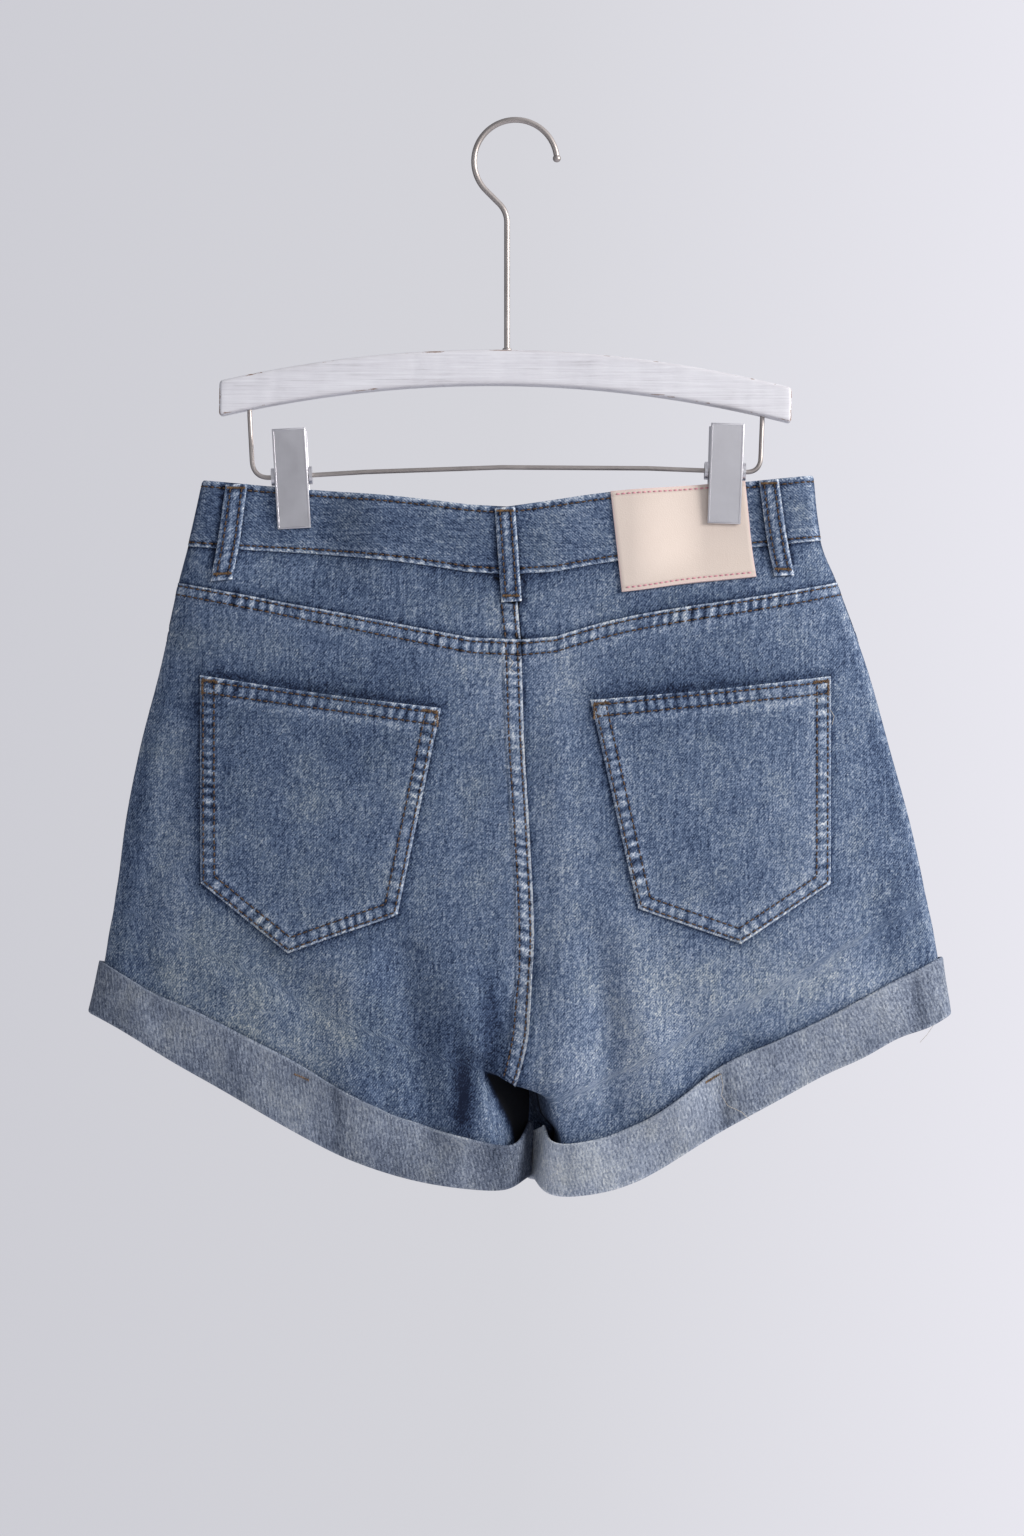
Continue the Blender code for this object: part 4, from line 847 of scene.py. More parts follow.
class Net:
    """Short ways to add and link the nodes of one tree."""

    def __init__(self, tree):
        self.tree = tree

    def put(self, socket, value):
        if isinstance(value, bpy.types.NodeSocket):
            self.tree.links.new(value, socket)
        else:
            socket.default_value = value

    def node(self, kind, settings=None, **values):
        node = self.tree.nodes.new(kind)
        for key, value in (settings or {}).items():
            setattr(node, key, value)
        for key, value in values.items():
            self.put(node.inputs[key.replace("_", " ")], value)
        return node

    def math(self, operation, *values, clamp=False):
        node = self.tree.nodes.new("ShaderNodeMath")
        node.operation = operation
        node.use_clamp = clamp
        for socket, value in zip(node.inputs, values):
            self.put(socket, value)
        return node.outputs[0]

    def add(self, *values):
        total = values[0]
        for value in values[1:]:
            total = self.math("ADD", total, value)
        return total

    def times(self, *values):
        total = values[0]
        for value in values[1:]:
            total = self.math("MULTIPLY", total, value)
        return total

    def mixed(self, start, *shares):
        """A start value plus shares of others, each given as a value and its share."""
        return self.add(start, *(self.times(value, share) for value, share in shares))

    def place(self):
        return self.node("ShaderNodeTexCoord").outputs["Object"]

    def cloth(self):
        return self.node("ShaderNodeUVMap", {"uv_map": "cloth"}).outputs[0]

    def cells(self, vector):
        """A level of its own for each small cell, from -0.5 to 0.5."""
        node = self.node("ShaderNodeTexVoronoi", {"voronoi_dimensions": "2D"}, Vector=vector,
                         Scale=1)
        split = self.node("ShaderNodeSeparateColor", None, Color=node.outputs["Color"]).outputs
        return self.math("SUBTRACT", split[0], 0.5)

    def noise(self, vector, scale, detail=2, roughness=0.5):
        node = self.node("ShaderNodeTexNoise", None, Vector=vector, Scale=scale, Detail=detail,
                         Roughness=roughness)
        return self.math("SUBTRACT", node.outputs["Fac"], 0.5)

    def stretched(self, vector, x, y, z=1):
        node = self.node("ShaderNodeVectorMath", {"operation": "MULTIPLY"})
        self.put(node.inputs[0], vector)
        self.put(node.inputs[1], (x, y, z))
        return node.outputs[0]

    def ramp(self, factor, stops):
        node = self.tree.nodes.new("ShaderNodeValToRGB")
        elements = node.color_ramp.elements
        while len(elements) < len(stops):
            elements.new(0.5)
        for element, (place, colour) in zip(elements, stops):
            element.position = place
            element.color = colour
        self.put(node.inputs[0], factor)
        return node.outputs[0]

    def mix(self, factor, a, b, blend="MIX"):
        node = self.tree.nodes.new("ShaderNodeMix")
        node.data_type = "RGBA"
        node.blend_type = blend
        for name, value in (("Factor_Float", factor), ("A_Color", a), ("B_Color", b)):
            socket = next(s for s in node.inputs if s.identifier == name)
            self.put(socket, value)
        return next(s for s in node.outputs if s.identifier == "Result_Color")


def linear(r, g, b):
    """A colour given as it looks on a screen, 0 to 255, as the shaders want it."""
    return (*(c / 3294.6 if c <= 10 else ((c / 255 + 0.055) / 1.055) ** 2.4 for c in (r, g, b)), 1)


def new_group(name, inputs, outputs):
    """A shader node group: inputs as name, kind and default, outputs as name and kind."""
    tree = bpy.data.node_groups.new(name, "ShaderNodeTree")
    for label, kind, value in inputs:
        socket = tree.interface.new_socket(label, in_out="INPUT", socket_type="NodeSocket" + kind)
        if value is not None:
            socket.default_value = value
    for label, kind in outputs:
        tree.interface.new_socket(label, in_out="OUTPUT", socket_type="NodeSocket" + kind)
    start = tree.nodes.new("NodeGroupInput")
    stop = tree.nodes.new("NodeGroupOutput")
    return tree, Net(tree), start.outputs, stop.inputs


def new_material(name, roughness, **settings):
    material = bpy.data.materials.new(name)
    material.use_nodes = True
    shader = material.node_tree.nodes["Principled BSDF"]
    shader.inputs["Roughness"].default_value = roughness
    for key, value in settings.items():
        shader.inputs[key.replace("_", " ")].default_value = value
    return material, Net(material.node_tree), shader


def dress(net, shader, colour, height, strength, distance, roughness=None):
    """Feeds a material its colour, its roughness and the height of its grain."""
    net.put(shader.inputs["Base Color"], colour)
    if roughness is not None:
        net.put(shader.inputs["Roughness"], roughness)
    bump = net.node("ShaderNodeBump", None, Strength=strength, Distance=distance, Height=height)
    net.put(shader.inputs["Normal"], bump.outputs[0])


def make_twill_group():
    """Threads of a twill: how light each spot is, from 0 to 1, and its height."""
    tree, net, given, out = new_group(
        "twill_threads",
        (("Vector", "Vector", None), ("Lean", "Float", 1), ("Pitch", "Float", 0.0013),
         ("Base", "Float", 0.45), ("Contrast", "Float", 1), ("Tone", "Float", 0),
         ("Wear", "Float", 0), ("Deep", "Float", 0)),
        (("Level", "Float"), ("Dust", "Float"), ("Height", "Float")))
    vector = given["Vector"]
    split = net.node("ShaderNodeSeparateXYZ", None, Vector=vector).outputs
    across = net.add(net.times(split[0], 0.78), net.times(split[1], -0.62, given["Lean"]))
    along = net.add(net.times(split[0], 0.62, given["Lean"]), net.times(split[1], 0.78))
    lines = net.node("ShaderNodeCombineXYZ", None, X=net.times(across, 1650),
                     Y=net.times(along, 700)).outputs[0]
    dash = net.noise(lines, 1, 0)
    pick = net.cells(lines)
    speck = net.cells(net.stretched(vector, 1650, 1350))
    streak = net.noise(net.stretched(vector, 800, 45), 1, 1)
    patch = net.noise(net.stretched(vector, 45, 36), 1, 3, 0.55)
    blotch = net.noise(net.stretched(vector, 280, 190), 1, 3, 0.6)
    phase = net.times(net.math("DIVIDE", across, given["Pitch"]), 2 * math.pi)
    rib = net.math("SINE", net.mixed(phase, (streak, 2.6)))
    threads = net.mixed(net.times(rib, 0.06), (pick, 0.26), (streak, 0.35), (speck, 0.29),
                        (blotch, 0.2))
    rubbed = net.mixed(0.46, (pick, 0.2), (blotch, 0.3))
    # The level lightens with wear and painted highlights and darkens with darker dye and painted
    # shade.
    level = net.mixed(given["Base"], (given["Tone"], 0.13), (patch, 0.24),
                      (threads, given["Contrast"]), (given["Wear"], rubbed), (given["Deep"], -0.3))
    net.put(out["Dust"], net.mixed(net.times(patch, 1.3), (blotch, 0.4), (speck, 0.4)))
    net.put(out["Level"], net.math("MAXIMUM", net.math("MINIMUM", level, 1), 0))
    net.put(out["Height"], net.mixed(net.times(rib, 0.5), (dash, 1.2)))
    return tree


def colour_mask_inputs(net):
    """The four masks of the colour attribute: tone with painted light and shade, wear with painted
    highlights, darker dye with painted shade, and warmth.
    """
    attribute = net.node("ShaderNodeAttribute", {"attribute_name": "colour_masks"})
    split = net.node("ShaderNodeSeparateColor", None, Color=attribute.outputs["Color"]).outputs
    tone = net.math("MULTIPLY_ADD", split[0], 2, -1)
    return tone, split[1], split[2], attribute.outputs["Alpha"]


def make_denim(name, lean, base, contrast, stops, bump=0.16, pitch=0.0013):
    """Washed denim from the twill's threads; lean is the slope of its ribs."""
    material, net, shader = new_material(name, 0.92, Specular_IOR_Level=0.18, Sheen_Weight=0.03,
                                         Sheen_Roughness=0.45)
    tone, wear_and_highlight, dye_and_shade, warm = colour_mask_inputs(net)
    made = net.node("ShaderNodeGroup", {"node_tree": twill}, Vector=net.cloth(), Lean=lean,
                    Pitch=pitch, Base=base, Contrast=contrast, Tone=tone, Wear=wear_and_highlight,
                    Deep=dye_and_shade).outputs
    colour = net.ramp(made["Level"], stops)
    warmth = net.math("ADD", net.times(net.add(warm, 0.02), 0.7), made["Dust"], clamp=True)
    colour = net.mix(warmth, colour, WARM_TINT, "MULTIPLY")
    # Painted shadow: where the darkening runs high, as in the crotch hollow, the colour goes
    # towards  near black.
    painted_shadow = net.math("MULTIPLY_ADD", dye_and_shade, 1.8, -1.9, clamp=True)
    colour = net.mix(painted_shadow, colour, linear(12, 14, 19))
    dress(net, shader, colour, made["Height"], bump, 0.00022)
    return material


def make_thread(name, colour, dark):
    material, net, shader = new_material(name, 0.6, Specular_IOR_Level=0.35)
    place = net.place()
    shade = net.math("ADD", net.noise(place, 900, 2), 0.5)
    dress(net, shader, net.ramp(shade, ((0.3, dark), (0.7, colour))), net.noise(place, 2600, 1),
          0.3, 0.0001)
    return material


def make_leather():
    material, net, shader = new_material("cream_leather", 0.7, Specular_IOR_Level=0.2)
    uv = net.cloth()
    tone, wear_and_highlight, dye_and_shade, _ = colour_mask_inputs(net)
    pores = net.node("ShaderNodeTexVoronoi", None, Vector=uv, Scale=1500).outputs["Distance"]
    cloud = net.noise(uv, 45, 4, 0.6)
    base = net.ramp(net.mixed(0.5, (cloud, 0.4), (tone, 0.05)),
                    ((0.2, linear(210, 194, 181)), (0.5, linear(216, 201, 189)),
                     (0.85, linear(221, 207, 195))))
    base = net.mix(net.math("MULTIPLY", wear_and_highlight, 0.8, clamp=True), base, linear(218, 182, 184))
    base = net.mix(net.math("MULTIPLY", dye_and_shade, 0.8, clamp=True), base, linear(120, 84, 78))
    dress(net, shader, base, net.mixed(pores, (cloud, 1.5)), 0.25, 0.0002,
          net.mixed(0.75, (cloud, 0.2)))
    return material


def make_painted_wood():
    material, net, shader = new_material("painted_wood", 0.55, Specular_IOR_Level=0.4)
    place = net.place()
    worn = colour_mask_inputs(net)[1]
    grain = net.noise(net.stretched(place, 14, 700, 700), 1, 4, 0.6)
    brush = net.noise(net.stretched(place, 40, 1500, 1500), 1, 2, 0.6)
    blotch = net.noise(place, 60, 4, 0.6)
    level = net.mixed(0.62, (grain, 0.9), (brush, 0.6), (blotch, 0.4))
    paint = net.ramp(level, ((0.2, linear(184, 180, 182)), (0.5, linear(218, 216, 220)),
                             (0.85, linear(232, 231, 234))))
    rubbed = net.math("GREATER_THAN", net.mixed(blotch, (worn, 0.75), (grain, 1.2)), 0.72)
    thin = net.math("MULTIPLY", worn, 0.16, clamp=True)
    paint = net.mix(thin, paint, linear(176, 164, 158))
    dress(net, shader, net.mix(rubbed, paint, linear(140, 112, 96)),
          net.mixed(grain, (brush, 0.5)), 0.35, 0.0004, net.mixed(0.55, (grain, 0.3)))
    return material


def make_metal(name, colour, dark, roughness, brushed, grain=0.12):
    """Brushed metal: brushed gives how the fine lines are stretched along X, Y and Z."""
    material, net, shader = new_material(name, roughness, Metallic=1)
    place = net.place()
    lines = net.noise(net.stretched(place, *brushed), 1, 2, 0.6)
    cloud = net.noise(place, 70, 3, 0.6)
    level = net.mixed(0.5, (lines, 4 * grain), (cloud, 0.5))
    dress(net, shader, net.ramp(level, ((0.25, dark), (0.7, colour))), lines, grain, 0.00008,
          net.mixed(roughness, (lines, grain), (cloud, 0.12)))
    return material


# ---- materials

twill = make_twill_group()
FACE_STOPS = ((0, linear(15, 24, 45)), (0.25, linear(50, 65, 92)), (0.5, linear(94, 111, 137)),
              (0.75, linear(152, 164, 183)), (1, linear(216, 222, 228)))
REVERSE_STOPS = ((0, linear(44, 52, 68)), (0.3, linear(101, 110, 127)),
                 (0.55, linear(146, 155, 171)), (0.8, linear(192, 200, 212)),
                 (1, linear(232, 236, 242)))
WARM_TINT = (1.09, 1, 0.79, 1)
denim = make_denim("washed_denim", 1, 0.44, 1, FACE_STOPS)
reverse = make_denim("denim_reverse", -0.5, 0.5, 0.8, REVERSE_STOPS, 0.18, 0.0018)
brown_thread = make_thread("brown_topstitch", linear(106, 80, 56), linear(44, 36, 30))
gold_thread = make_thread("gold_bar_tack", linear(146, 112, 72), linear(76, 60, 44))
pink_thread = make_thread("pink_stitch", linear(222, 158, 166), linear(190, 128, 140))
pale_thread = make_thread("pale_thread_end", linear(214, 206, 190), linear(168, 158, 142))
leather = make_leather()
painted_wood = make_painted_wood()
nickel_wire = make_metal("brushed_nickel", linear(196, 188, 183), linear(160, 151, 146), 0.42,
                         (600, 600, 600), 0.03)
clip_steel = make_metal("clip_steel", linear(227, 225, 228), linear(210, 207, 210), 0.36,
                        (2200, 60, 60), 0.02)
button_metal = make_metal("button_metal", linear(170, 138, 96), linear(110, 86, 58), 0.38,
                          (300, 300, 300))
# Outside and inside of a single and of a doubled cloth.
SINGLE = (denim, reverse)
DOUBLED = (denim, denim)

# ---- cloth pieces

stitch_rows = {BACK: [], FRONT: [], "patch": []}


def keep_row(group, points, above, pitch=STITCH_PITCH):
    """Remembers a row to sew: its points on the cloth, and points above them."""
    stitch_rows[group].append((points.reshape(-1, 3), above.reshape(-1, 3), pitch))


def sew(face, side, q, t, rise, shift=0):
    """Remembers a row through q and t at a rise above the surface, shifted along x."""
    right = np.multiply.outer(np.broadcast_to(shift, np.shape(t)), (1, 0, 0))
    keep_row(face, *(wall + right for wall in body_walls(face, side, q, t, rise, rise + 1)))


def mouth_distance(side, q, t):
    """Distance outside the front pocket's mouth, and the way along it."""
    width = front_width(side)
    across = width_share(q) * width
    span = MOUTH_SPAN * width
    size = np.hypot(across / span, np.maximum(t, 0) / MOUTH_DROP)
    slope = np.hypot(across / span ** 2, np.maximum(t, 0) / MOUTH_DROP ** 2)
    angle = np.arctan2(across / span, np.maximum(t, 0) / MOUTH_DROP)
    distance = (size - 1) * size / np.maximum(slope, 1e-6)
    return distance, angle * (span + MOUTH_DROP) / 2


def mouth_depth(share):
    """How far down the front pocket's mouth reaches at a share of the panel's width."""
    return MOUTH_DROP * np.sqrt(np.clip(1 - (share / MOUTH_SPAN) ** 2, 0, 1))


def panel_look(face, side, q, t):
    """Rise of a panel's outside above the surface, its wear with painted highlights, and its
    darker dye with painted shade.
    """
    q, t = np.broadcast_arrays(np.asarray(q, dtype=float), np.asarray(t, dtype=float))
    seed = {"L": 0.7, "R": 2.9}[side] + (4 if face == FRONT else 0)
    x, _, z = np.moveaxis(body_point(face, side, q, t), -1, 0)
    seam_d = from_seam(face, side, q, t)
    side_d = from_side(face, side, q, t)
    above_crotch = 1 - smooth(t, 288, 297)
    if face == BACK:
        strip = on_fell(t - YOKE_T)
        look = np.array(sewn_edge(t - YOKE_T, x, YOKE_ROWS, FELL_SEWN, seed))
        if side == "L":
            centre = on_fell(seam_d) * above_crotch
            strip = np.maximum(strip, centre)
            seam = np.array(sewn_edge(seam_d, t, SEAM_ROWS, FELL_SEWN, seed + 1.3))
            seam[1] += 0.16 * centre + 0.5 * bell(seam_d - 0.6, 0.75)
            look += seam * smooth(t - YOKE_T, 9, 13) * above_crotch
        else:
            # Painted shadow of the left side's felled strip on the right back panel.
            look[2] += shadow_beside_edge(seam_d, t, seed) * above_crotch * 0.8
            look[0] -= 0.3 * bell(seam_d, 1.2) * above_crotch
        rise = WALL_OUT + FELL * strip
        for outline in POCKETS.values():
            look[2] += pocket_shadow(outline, x, z)
    else:
        mouth_d, along = mouth_distance(side, q, t)
        near_mouth = 1 - smooth(t, 92, 110)
        look = np.array(sewn_edge(mouth_d, along, MOUTH_ROWS, 10, seed)) * near_mouth
        rise = WALL_OUT + 0.4 * (1 - smooth(mouth_d, 9.6, 10.8)) * near_mouth
        if side == "L":
            below_fly = smooth(t, 140, 150) * above_crotch
            seam = np.array(sewn_edge(seam_d, t, FRONT_SEAM_DIPS, 9.6, seed + 1.3))
            look += seam * below_fly
    height, wear_and_highlight, dye_and_shade = look
    side_hump = rope(t, seed + 0.5, 9)
    height = height - 0.45 * bell(side_d, 0.9) + 0.18 * side_hump * bell(side_d - 3, 2.2)
    wear_and_highlight = wear_and_highlight + (0.16 + 0.14 * side_hump) * bell(side_d - 3.2, 2)
    dye_and_shade = dye_and_shade + 0.55 * bell(side_d, 1.3) + 0.2 * bell(side_d - 8, 4)
    # Painted shadow of the cuff on the leg just above its top edge.
    above_cuff = TOP_T - t - cuff_wander(side, x, 0)
    dye_and_shade = dye_and_shade + 0.3 * np.exp(-np.maximum(above_cuff, 0) / 2) * smooth(q, 0.02, 0.12)
    inseam = smooth(t, 297, 301)
    height = height - 0.3 * bell(seam_d, 1.2) * inseam
    # Painted shadow in the hollow between the legs, below the crotch.
    if (face, side) == (BACK, "L"):
        painted_shadow = 1.7 * smooth(x + 12.5 + 0.42 * (z + 587), -1, 4)
    else:
        painted_shadow = smooth(q, 0.86, 0.97)
    dye_and_shade = dye_and_shade + (painted_shadow + 0.4 * bell(seam_d, 2)) * inseam
    return rise + height, np.clip(wear_and_highlight, 0, 1.2), np.clip(dye_and_shade, 0, 1.8)


def pocket_shadow(outline, x, z):
    """Darker cloth close around a pocket."""
    nearest = np.minimum.reduce([from_stretch(x, z, *start, *stop)
                                 for start, stop in zip(*ring_of(outline))])
    above = z - np.interp(x, *np.array(sorted(outline[:2])).T)
    return 0.95 * np.exp(-nearest / 2) + 0.5 * np.exp(-nearest / 7) * smooth(above, 0, 2)


def rows_between(*stretches):
    """Values from stretches of start, stop and step, with what follows them as it is."""
    return np.concatenate([np.arange(*part) if len(part) == 3 else part for part in stretches])


def add_panel(face, side):
    """One panel of the body and leg, down to its raw edge in the cuff."""
    spacing = 1.7 if face == BACK else 2
    close = 14 if (face, side) != (BACK, "R") else 5
    columns = even_columns(face, side, 200, spacing, close, 0.9)
    if face == BACK:
        down = rows_between((YOKE_T, 54, 0.85), (54, 284, 2), (284, 306, 1.2),
                            (306, TOP_T, 2.2), (TOP_T, 369, 5), [RAW_EDGE_T])[:, None]
        t = np.broadcast_to(down, (len(down), len(columns)))
    else:
        down = rows_between((0, 14, 0.9), (14, FACING_END_T, 2), (FACING_END_T, 284, 2.2),
                            (284, 306, 1.2), (306, TOP_T, 2.4), (TOP_T, 369, 5),
                            [RAW_EDGE_T])[:, None]
        mouth = mouth_depth(width_share(columns))
        t = np.where(down < FACING_END_T,
                     mouth + (FACING_END_T - mouth) * down / FACING_END_T, down)
    q = np.broadcast_to(columns, t.shape)
    rise, wear_and_highlight, dye_and_shade = panel_look(face, side, q, t)
    outer, inner = body_walls(face, side, q, t, rise, WALL_IN)
    swell = 3.4 * smooth(q, 0.88, 1) * smooth(t, 299.5, 308) * (1 - smooth(t, 326, 342))
    for wall in (outer, inner):
        wall[..., 0] += swell * (side == "L")
    share = np.clip((t - TOP_T) / (HEM_T - TOP_T), 0, 1)
    lift = cuff_wander(side, outer[..., 0], share) * smooth(t, 322, TOP_T)
    for wall in (outer, inner):
        wall[..., 2] += lift
    return add_shell(("back_panel_" if face == BACK else "front_panel_") + side, outer, inner,
                     grid_uv(outer, -1, face), washed_and_shaded(face, outer, wear_and_highlight, dye_and_shade), SINGLE)


def sew_panel(face, side, q, t):
    """A row of stitches on a panel through the given q and t."""
    sew(face, side, q, t, panel_look(face, side, q, t)[0] + 0.05)


def yoke_seam_shift(seam_d, t):
    """How far the yokes' centre seam runs to the right of the garment's own centre line."""
    seam_x = read_levels(FACES[BACK, "L"], t)[..., 2]
    straight_x = FACES[BACK, "L"][2][2] - 0.08 * (YOKE_T - t)
    return (straight_x - seam_x) * bell(seam_d, 16) * smooth(t, 0, 6)


def add_yoke(side):
    """One back yoke; the left one has the felled strip of the centre seam."""
    seed = {"L": 1.7, "R": 5.2}[side]
    columns = even_columns(BACK, side, 20, 1.5, 6, 1)
    q, t = np.meshgrid(columns, rows_between((0, 5, 0.9), (5, 34, 1.6),
                                             (34, YOKE_T, 1), [YOKE_T]))
    x = body_point(BACK, side, q, t)[..., 0]
    seam_d = from_seam(BACK, side, q, t)
    side_d = from_side(BACK, side, q, t)
    # Painted shadow below the waistband, above the back panels' felled strip and beside the belt
    # loops; darker at the side fold.
    dye_and_shade = (shadow_beside_edge(t, x, seed, 2.6) + shadow_beside_edge(YOKE_T - t, x, seed + 0.9, 2.2)
            + 0.5 * bell(side_d, 1.3) + loop_shadow(BACK, x, t))
    rise = (WALL_OUT - 0.35 * bell(t, 1.4) - 0.3 * bell(YOKE_T - t, 1.2)
            + 0.16 * rope(x, seed) * np.exp(-t / 6) - 0.3 * bell(side_d, 1)
            + 0.14 * rope(x, seed + 0.9) * np.exp(-(YOKE_T - t) / 5) - 0.25 * bell(seam_d, 1.2))
    if side == "L":
        below_band = smooth(t, 1, 3)
        height, wear_and_highlight, dark = sewn_edge(seam_d, t, SEAM_ROWS, FELL_SEWN, seed)
        wear_and_highlight = (wear_and_highlight + 0.5 * bell(seam_d - 0.6, 0.75)) * below_band
        dye_and_shade = dye_and_shade + dark * below_band
        rise = rise + (height + YOKE_FELL * on_fell(seam_d)) * below_band
    else:
        wear_and_highlight = np.zeros_like(x)
        # Painted shadow of the left yoke's felled strip on the right yoke.
        dye_and_shade = dye_and_shade + 0.6 * bell(seam_d, 1.4) + 0.8 * shadow_beside_edge(seam_d, t, seed)
    outer, inner = body_walls(BACK, side, q, t, rise, WALL_IN)
    for wall in (outer, inner):
        wall[..., 0] += yoke_seam_shift(seam_d, t)
    return add_shell("yoke_" + side, outer, inner, grid_uv(outer),
                     washed_and_shaded(BACK, outer, wear_and_highlight, dye_and_shade), SINGLE)


def sew_yoke_seam():
    """The two rows down the yokes' centre seam, between the belt loop and the back panels."""
    way = np.arange(18.5, 39.6, 0.8)
    for reach in SEAM_ROWS:
        sew(BACK, "L", q_from_seam(BACK, "L", way, reach), way, WALL_OUT + YOKE_FELL + 0.05,
            yoke_seam_shift(np.full_like(way, reach), way))


def loop_shadow(face, x, t):
    """Darker cloth close beside the belt loops of one face."""
    dark = np.zeros_like(x)
    for loop_face, top_x, _, foot_x, _, width in LOOPS.values():
        if loop_face == face:
            down = np.clip((t + BAND_HEIGHT + 1) / LOOP_LENGTH, 0, 1)
            centre = top_x + (foot_x - top_x) * down
            reach = np.maximum(np.abs(x - centre) - width / 2, 0)
            share = np.where(x < centre, 1.1, 0.7) * (1 - smooth(t, 17.5, 20.5))
            dark = np.maximum(dark, share * np.exp(-reach / 1.8))
    return dark


def band_look(face, side, q, t):
    """Rise, wear with painted highlights, and darker dye with painted shade of the waistband's
    outside.
    """
    seed = 3.3 if face == BACK else 6.1
    x = body_point(face, side, q, t)[..., 0]
    from_top = t + BAND_HEIGHT
    low_h, low_w, low_d = sewn_edge(-t, x, (3.2,), 4.4, seed, 0.3)
    top_h, top_w, top_d = sewn_edge(from_top, x, (3.6,), 4.8, seed + 1.7, 0.3, 0.8)
    waves = 0.25 * np.sin(x / 9 + t / 11) * np.sin(x / 26 + 1) * bell(t + 20, 14)
    round_off = 0.75 * bell(from_top, 0.9) + 0.45 * bell(t, 0.8)
    return (BAND_OUT + 0.25 + low_h + top_h + waves - round_off,
            low_w + 0.6 * top_w + 0.25 * bell(from_top - 1, 2.4),
            low_d + top_d + loop_shadow(face, x, t))


def band_grid(face, side):
    """The two walls and the colour masks, with painted shade, of one side of the waistband, sewn
    along both its edges.
    """
    columns = even_columns(face, side, -20, 1.45)
    q, t = np.meshgrid(columns, rows_between((-BAND_HEIGHT, -34, 0.8), (-34, -6, 1.7),
                                             (-6, 0, 0.85), [0]))
    rise, wear_and_highlight, dye_and_shade = band_look(face, side, q, t)
    side_d = from_side(face, side, q, t)
    outer, inner = body_walls(face, side, q, t, rise - 0.3 * bell(side_d, 1),
                              BAND_IN + 0.8 * bell(t + BAND_HEIGHT, 1))
    look = washed_and_shaded(face, outer, wear_and_highlight + 0.3 * bell(side_d - 2, 1.6),
                  dye_and_shade + 0.5 * bell(side_d, 1))
    look[..., 0] -= 0.18
    for row_t in BAND_ROWS_T:
        line_t = np.full_like(columns, row_t)
        sew(face, side, columns, line_t, band_look(face, side, columns, line_t)[0] + 0.1)
    return outer, inner, look


def add_waistband():
    """The waistband's back and its two fronts, a doubled cloth with a rounded top edge."""
    left, right, *fronts = (band_grid(face, side) for face in (BACK, FRONT) for side in SIDES)
    outer, inner, colour_masks = (np.concatenate([a, b[:, -2::-1]], axis=1) for a, b in zip(left, right))
    uv = along_grain(grid_uv(outer, left[0].shape[1] - 1))
    made = [add_shell("waistband_back", outer, inner, uv, colour_masks, DOUBLED)]
    for side, (outer, inner, colour_masks) in zip(SIDES, fronts):
        made.append(add_shell("waistband_front_" + side, outer, inner,
                              along_grain(grid_uv(outer, -1, FRONT)), colour_masks, DOUBLED))
    return made


def pocket_look(side, x, z):
    """Rise, wear with painted highlights, and darker dye with painted shade of a pocket's outside,
    with a folded border all round.
    """
    points, nexts = ring_of(POCKETS[side])
    base = POCKET_BASE + 1.25
    rise = np.full(x.shape, base)
    wear_and_highlight = np.zeros_like(x)
    dye_and_shade = np.zeros_like(x)
    nearest = np.full(x.shape, 1e9)
    clockwise = np.sign((points[1] - points[0])[0])
    for k, (start, stop) in enumerate(zip(points, nexts)):
        d, along = edge_distance(x, z, start, stop)
        d = d * clockwise
        rows, width = (POCKET_ROWS, 9.6) if k else (POCKET_HEM_ROWS, 11.6)
        h, w, dark = sewn_edge(d, along, rows, width, POCKET_SEED[side] + 1.9 * k, 0.1)
        band = 1 - smooth(d, width - 0.6, width + 0.5)
        mine = smooth(nearest - d, -1.5, 1.5) if k else 1
        rise = np.maximum(np.where(d < width + 12, rise + h, rise), base + 0.45 * band + h)
        wear_and_highlight = wear_and_highlight * (1 - mine) + w * mine
        if k == 0:
            hump = rope(along, POCKET_SEED[side] + 2, 19)
            wear_and_highlight = wear_and_highlight + 0.2 * bell(d - width - 2.4, 2.4) * (1 + 0.5 * hump)
        dye_and_shade = dye_and_shade * (1 - mine) + dark * mine
        nearest = np.minimum(nearest, d)
    rise = rise - 0.85 * bell(nearest, 0.7)
    return rise, np.clip(wear_and_highlight, 0, 1.2), np.clip(dye_and_shade, 0, 1.2)


def pocket_rise(side):
    """The rise of one pocket's outside at x and z."""
    return lambda x, z: pocket_look(side, x, z)[0]


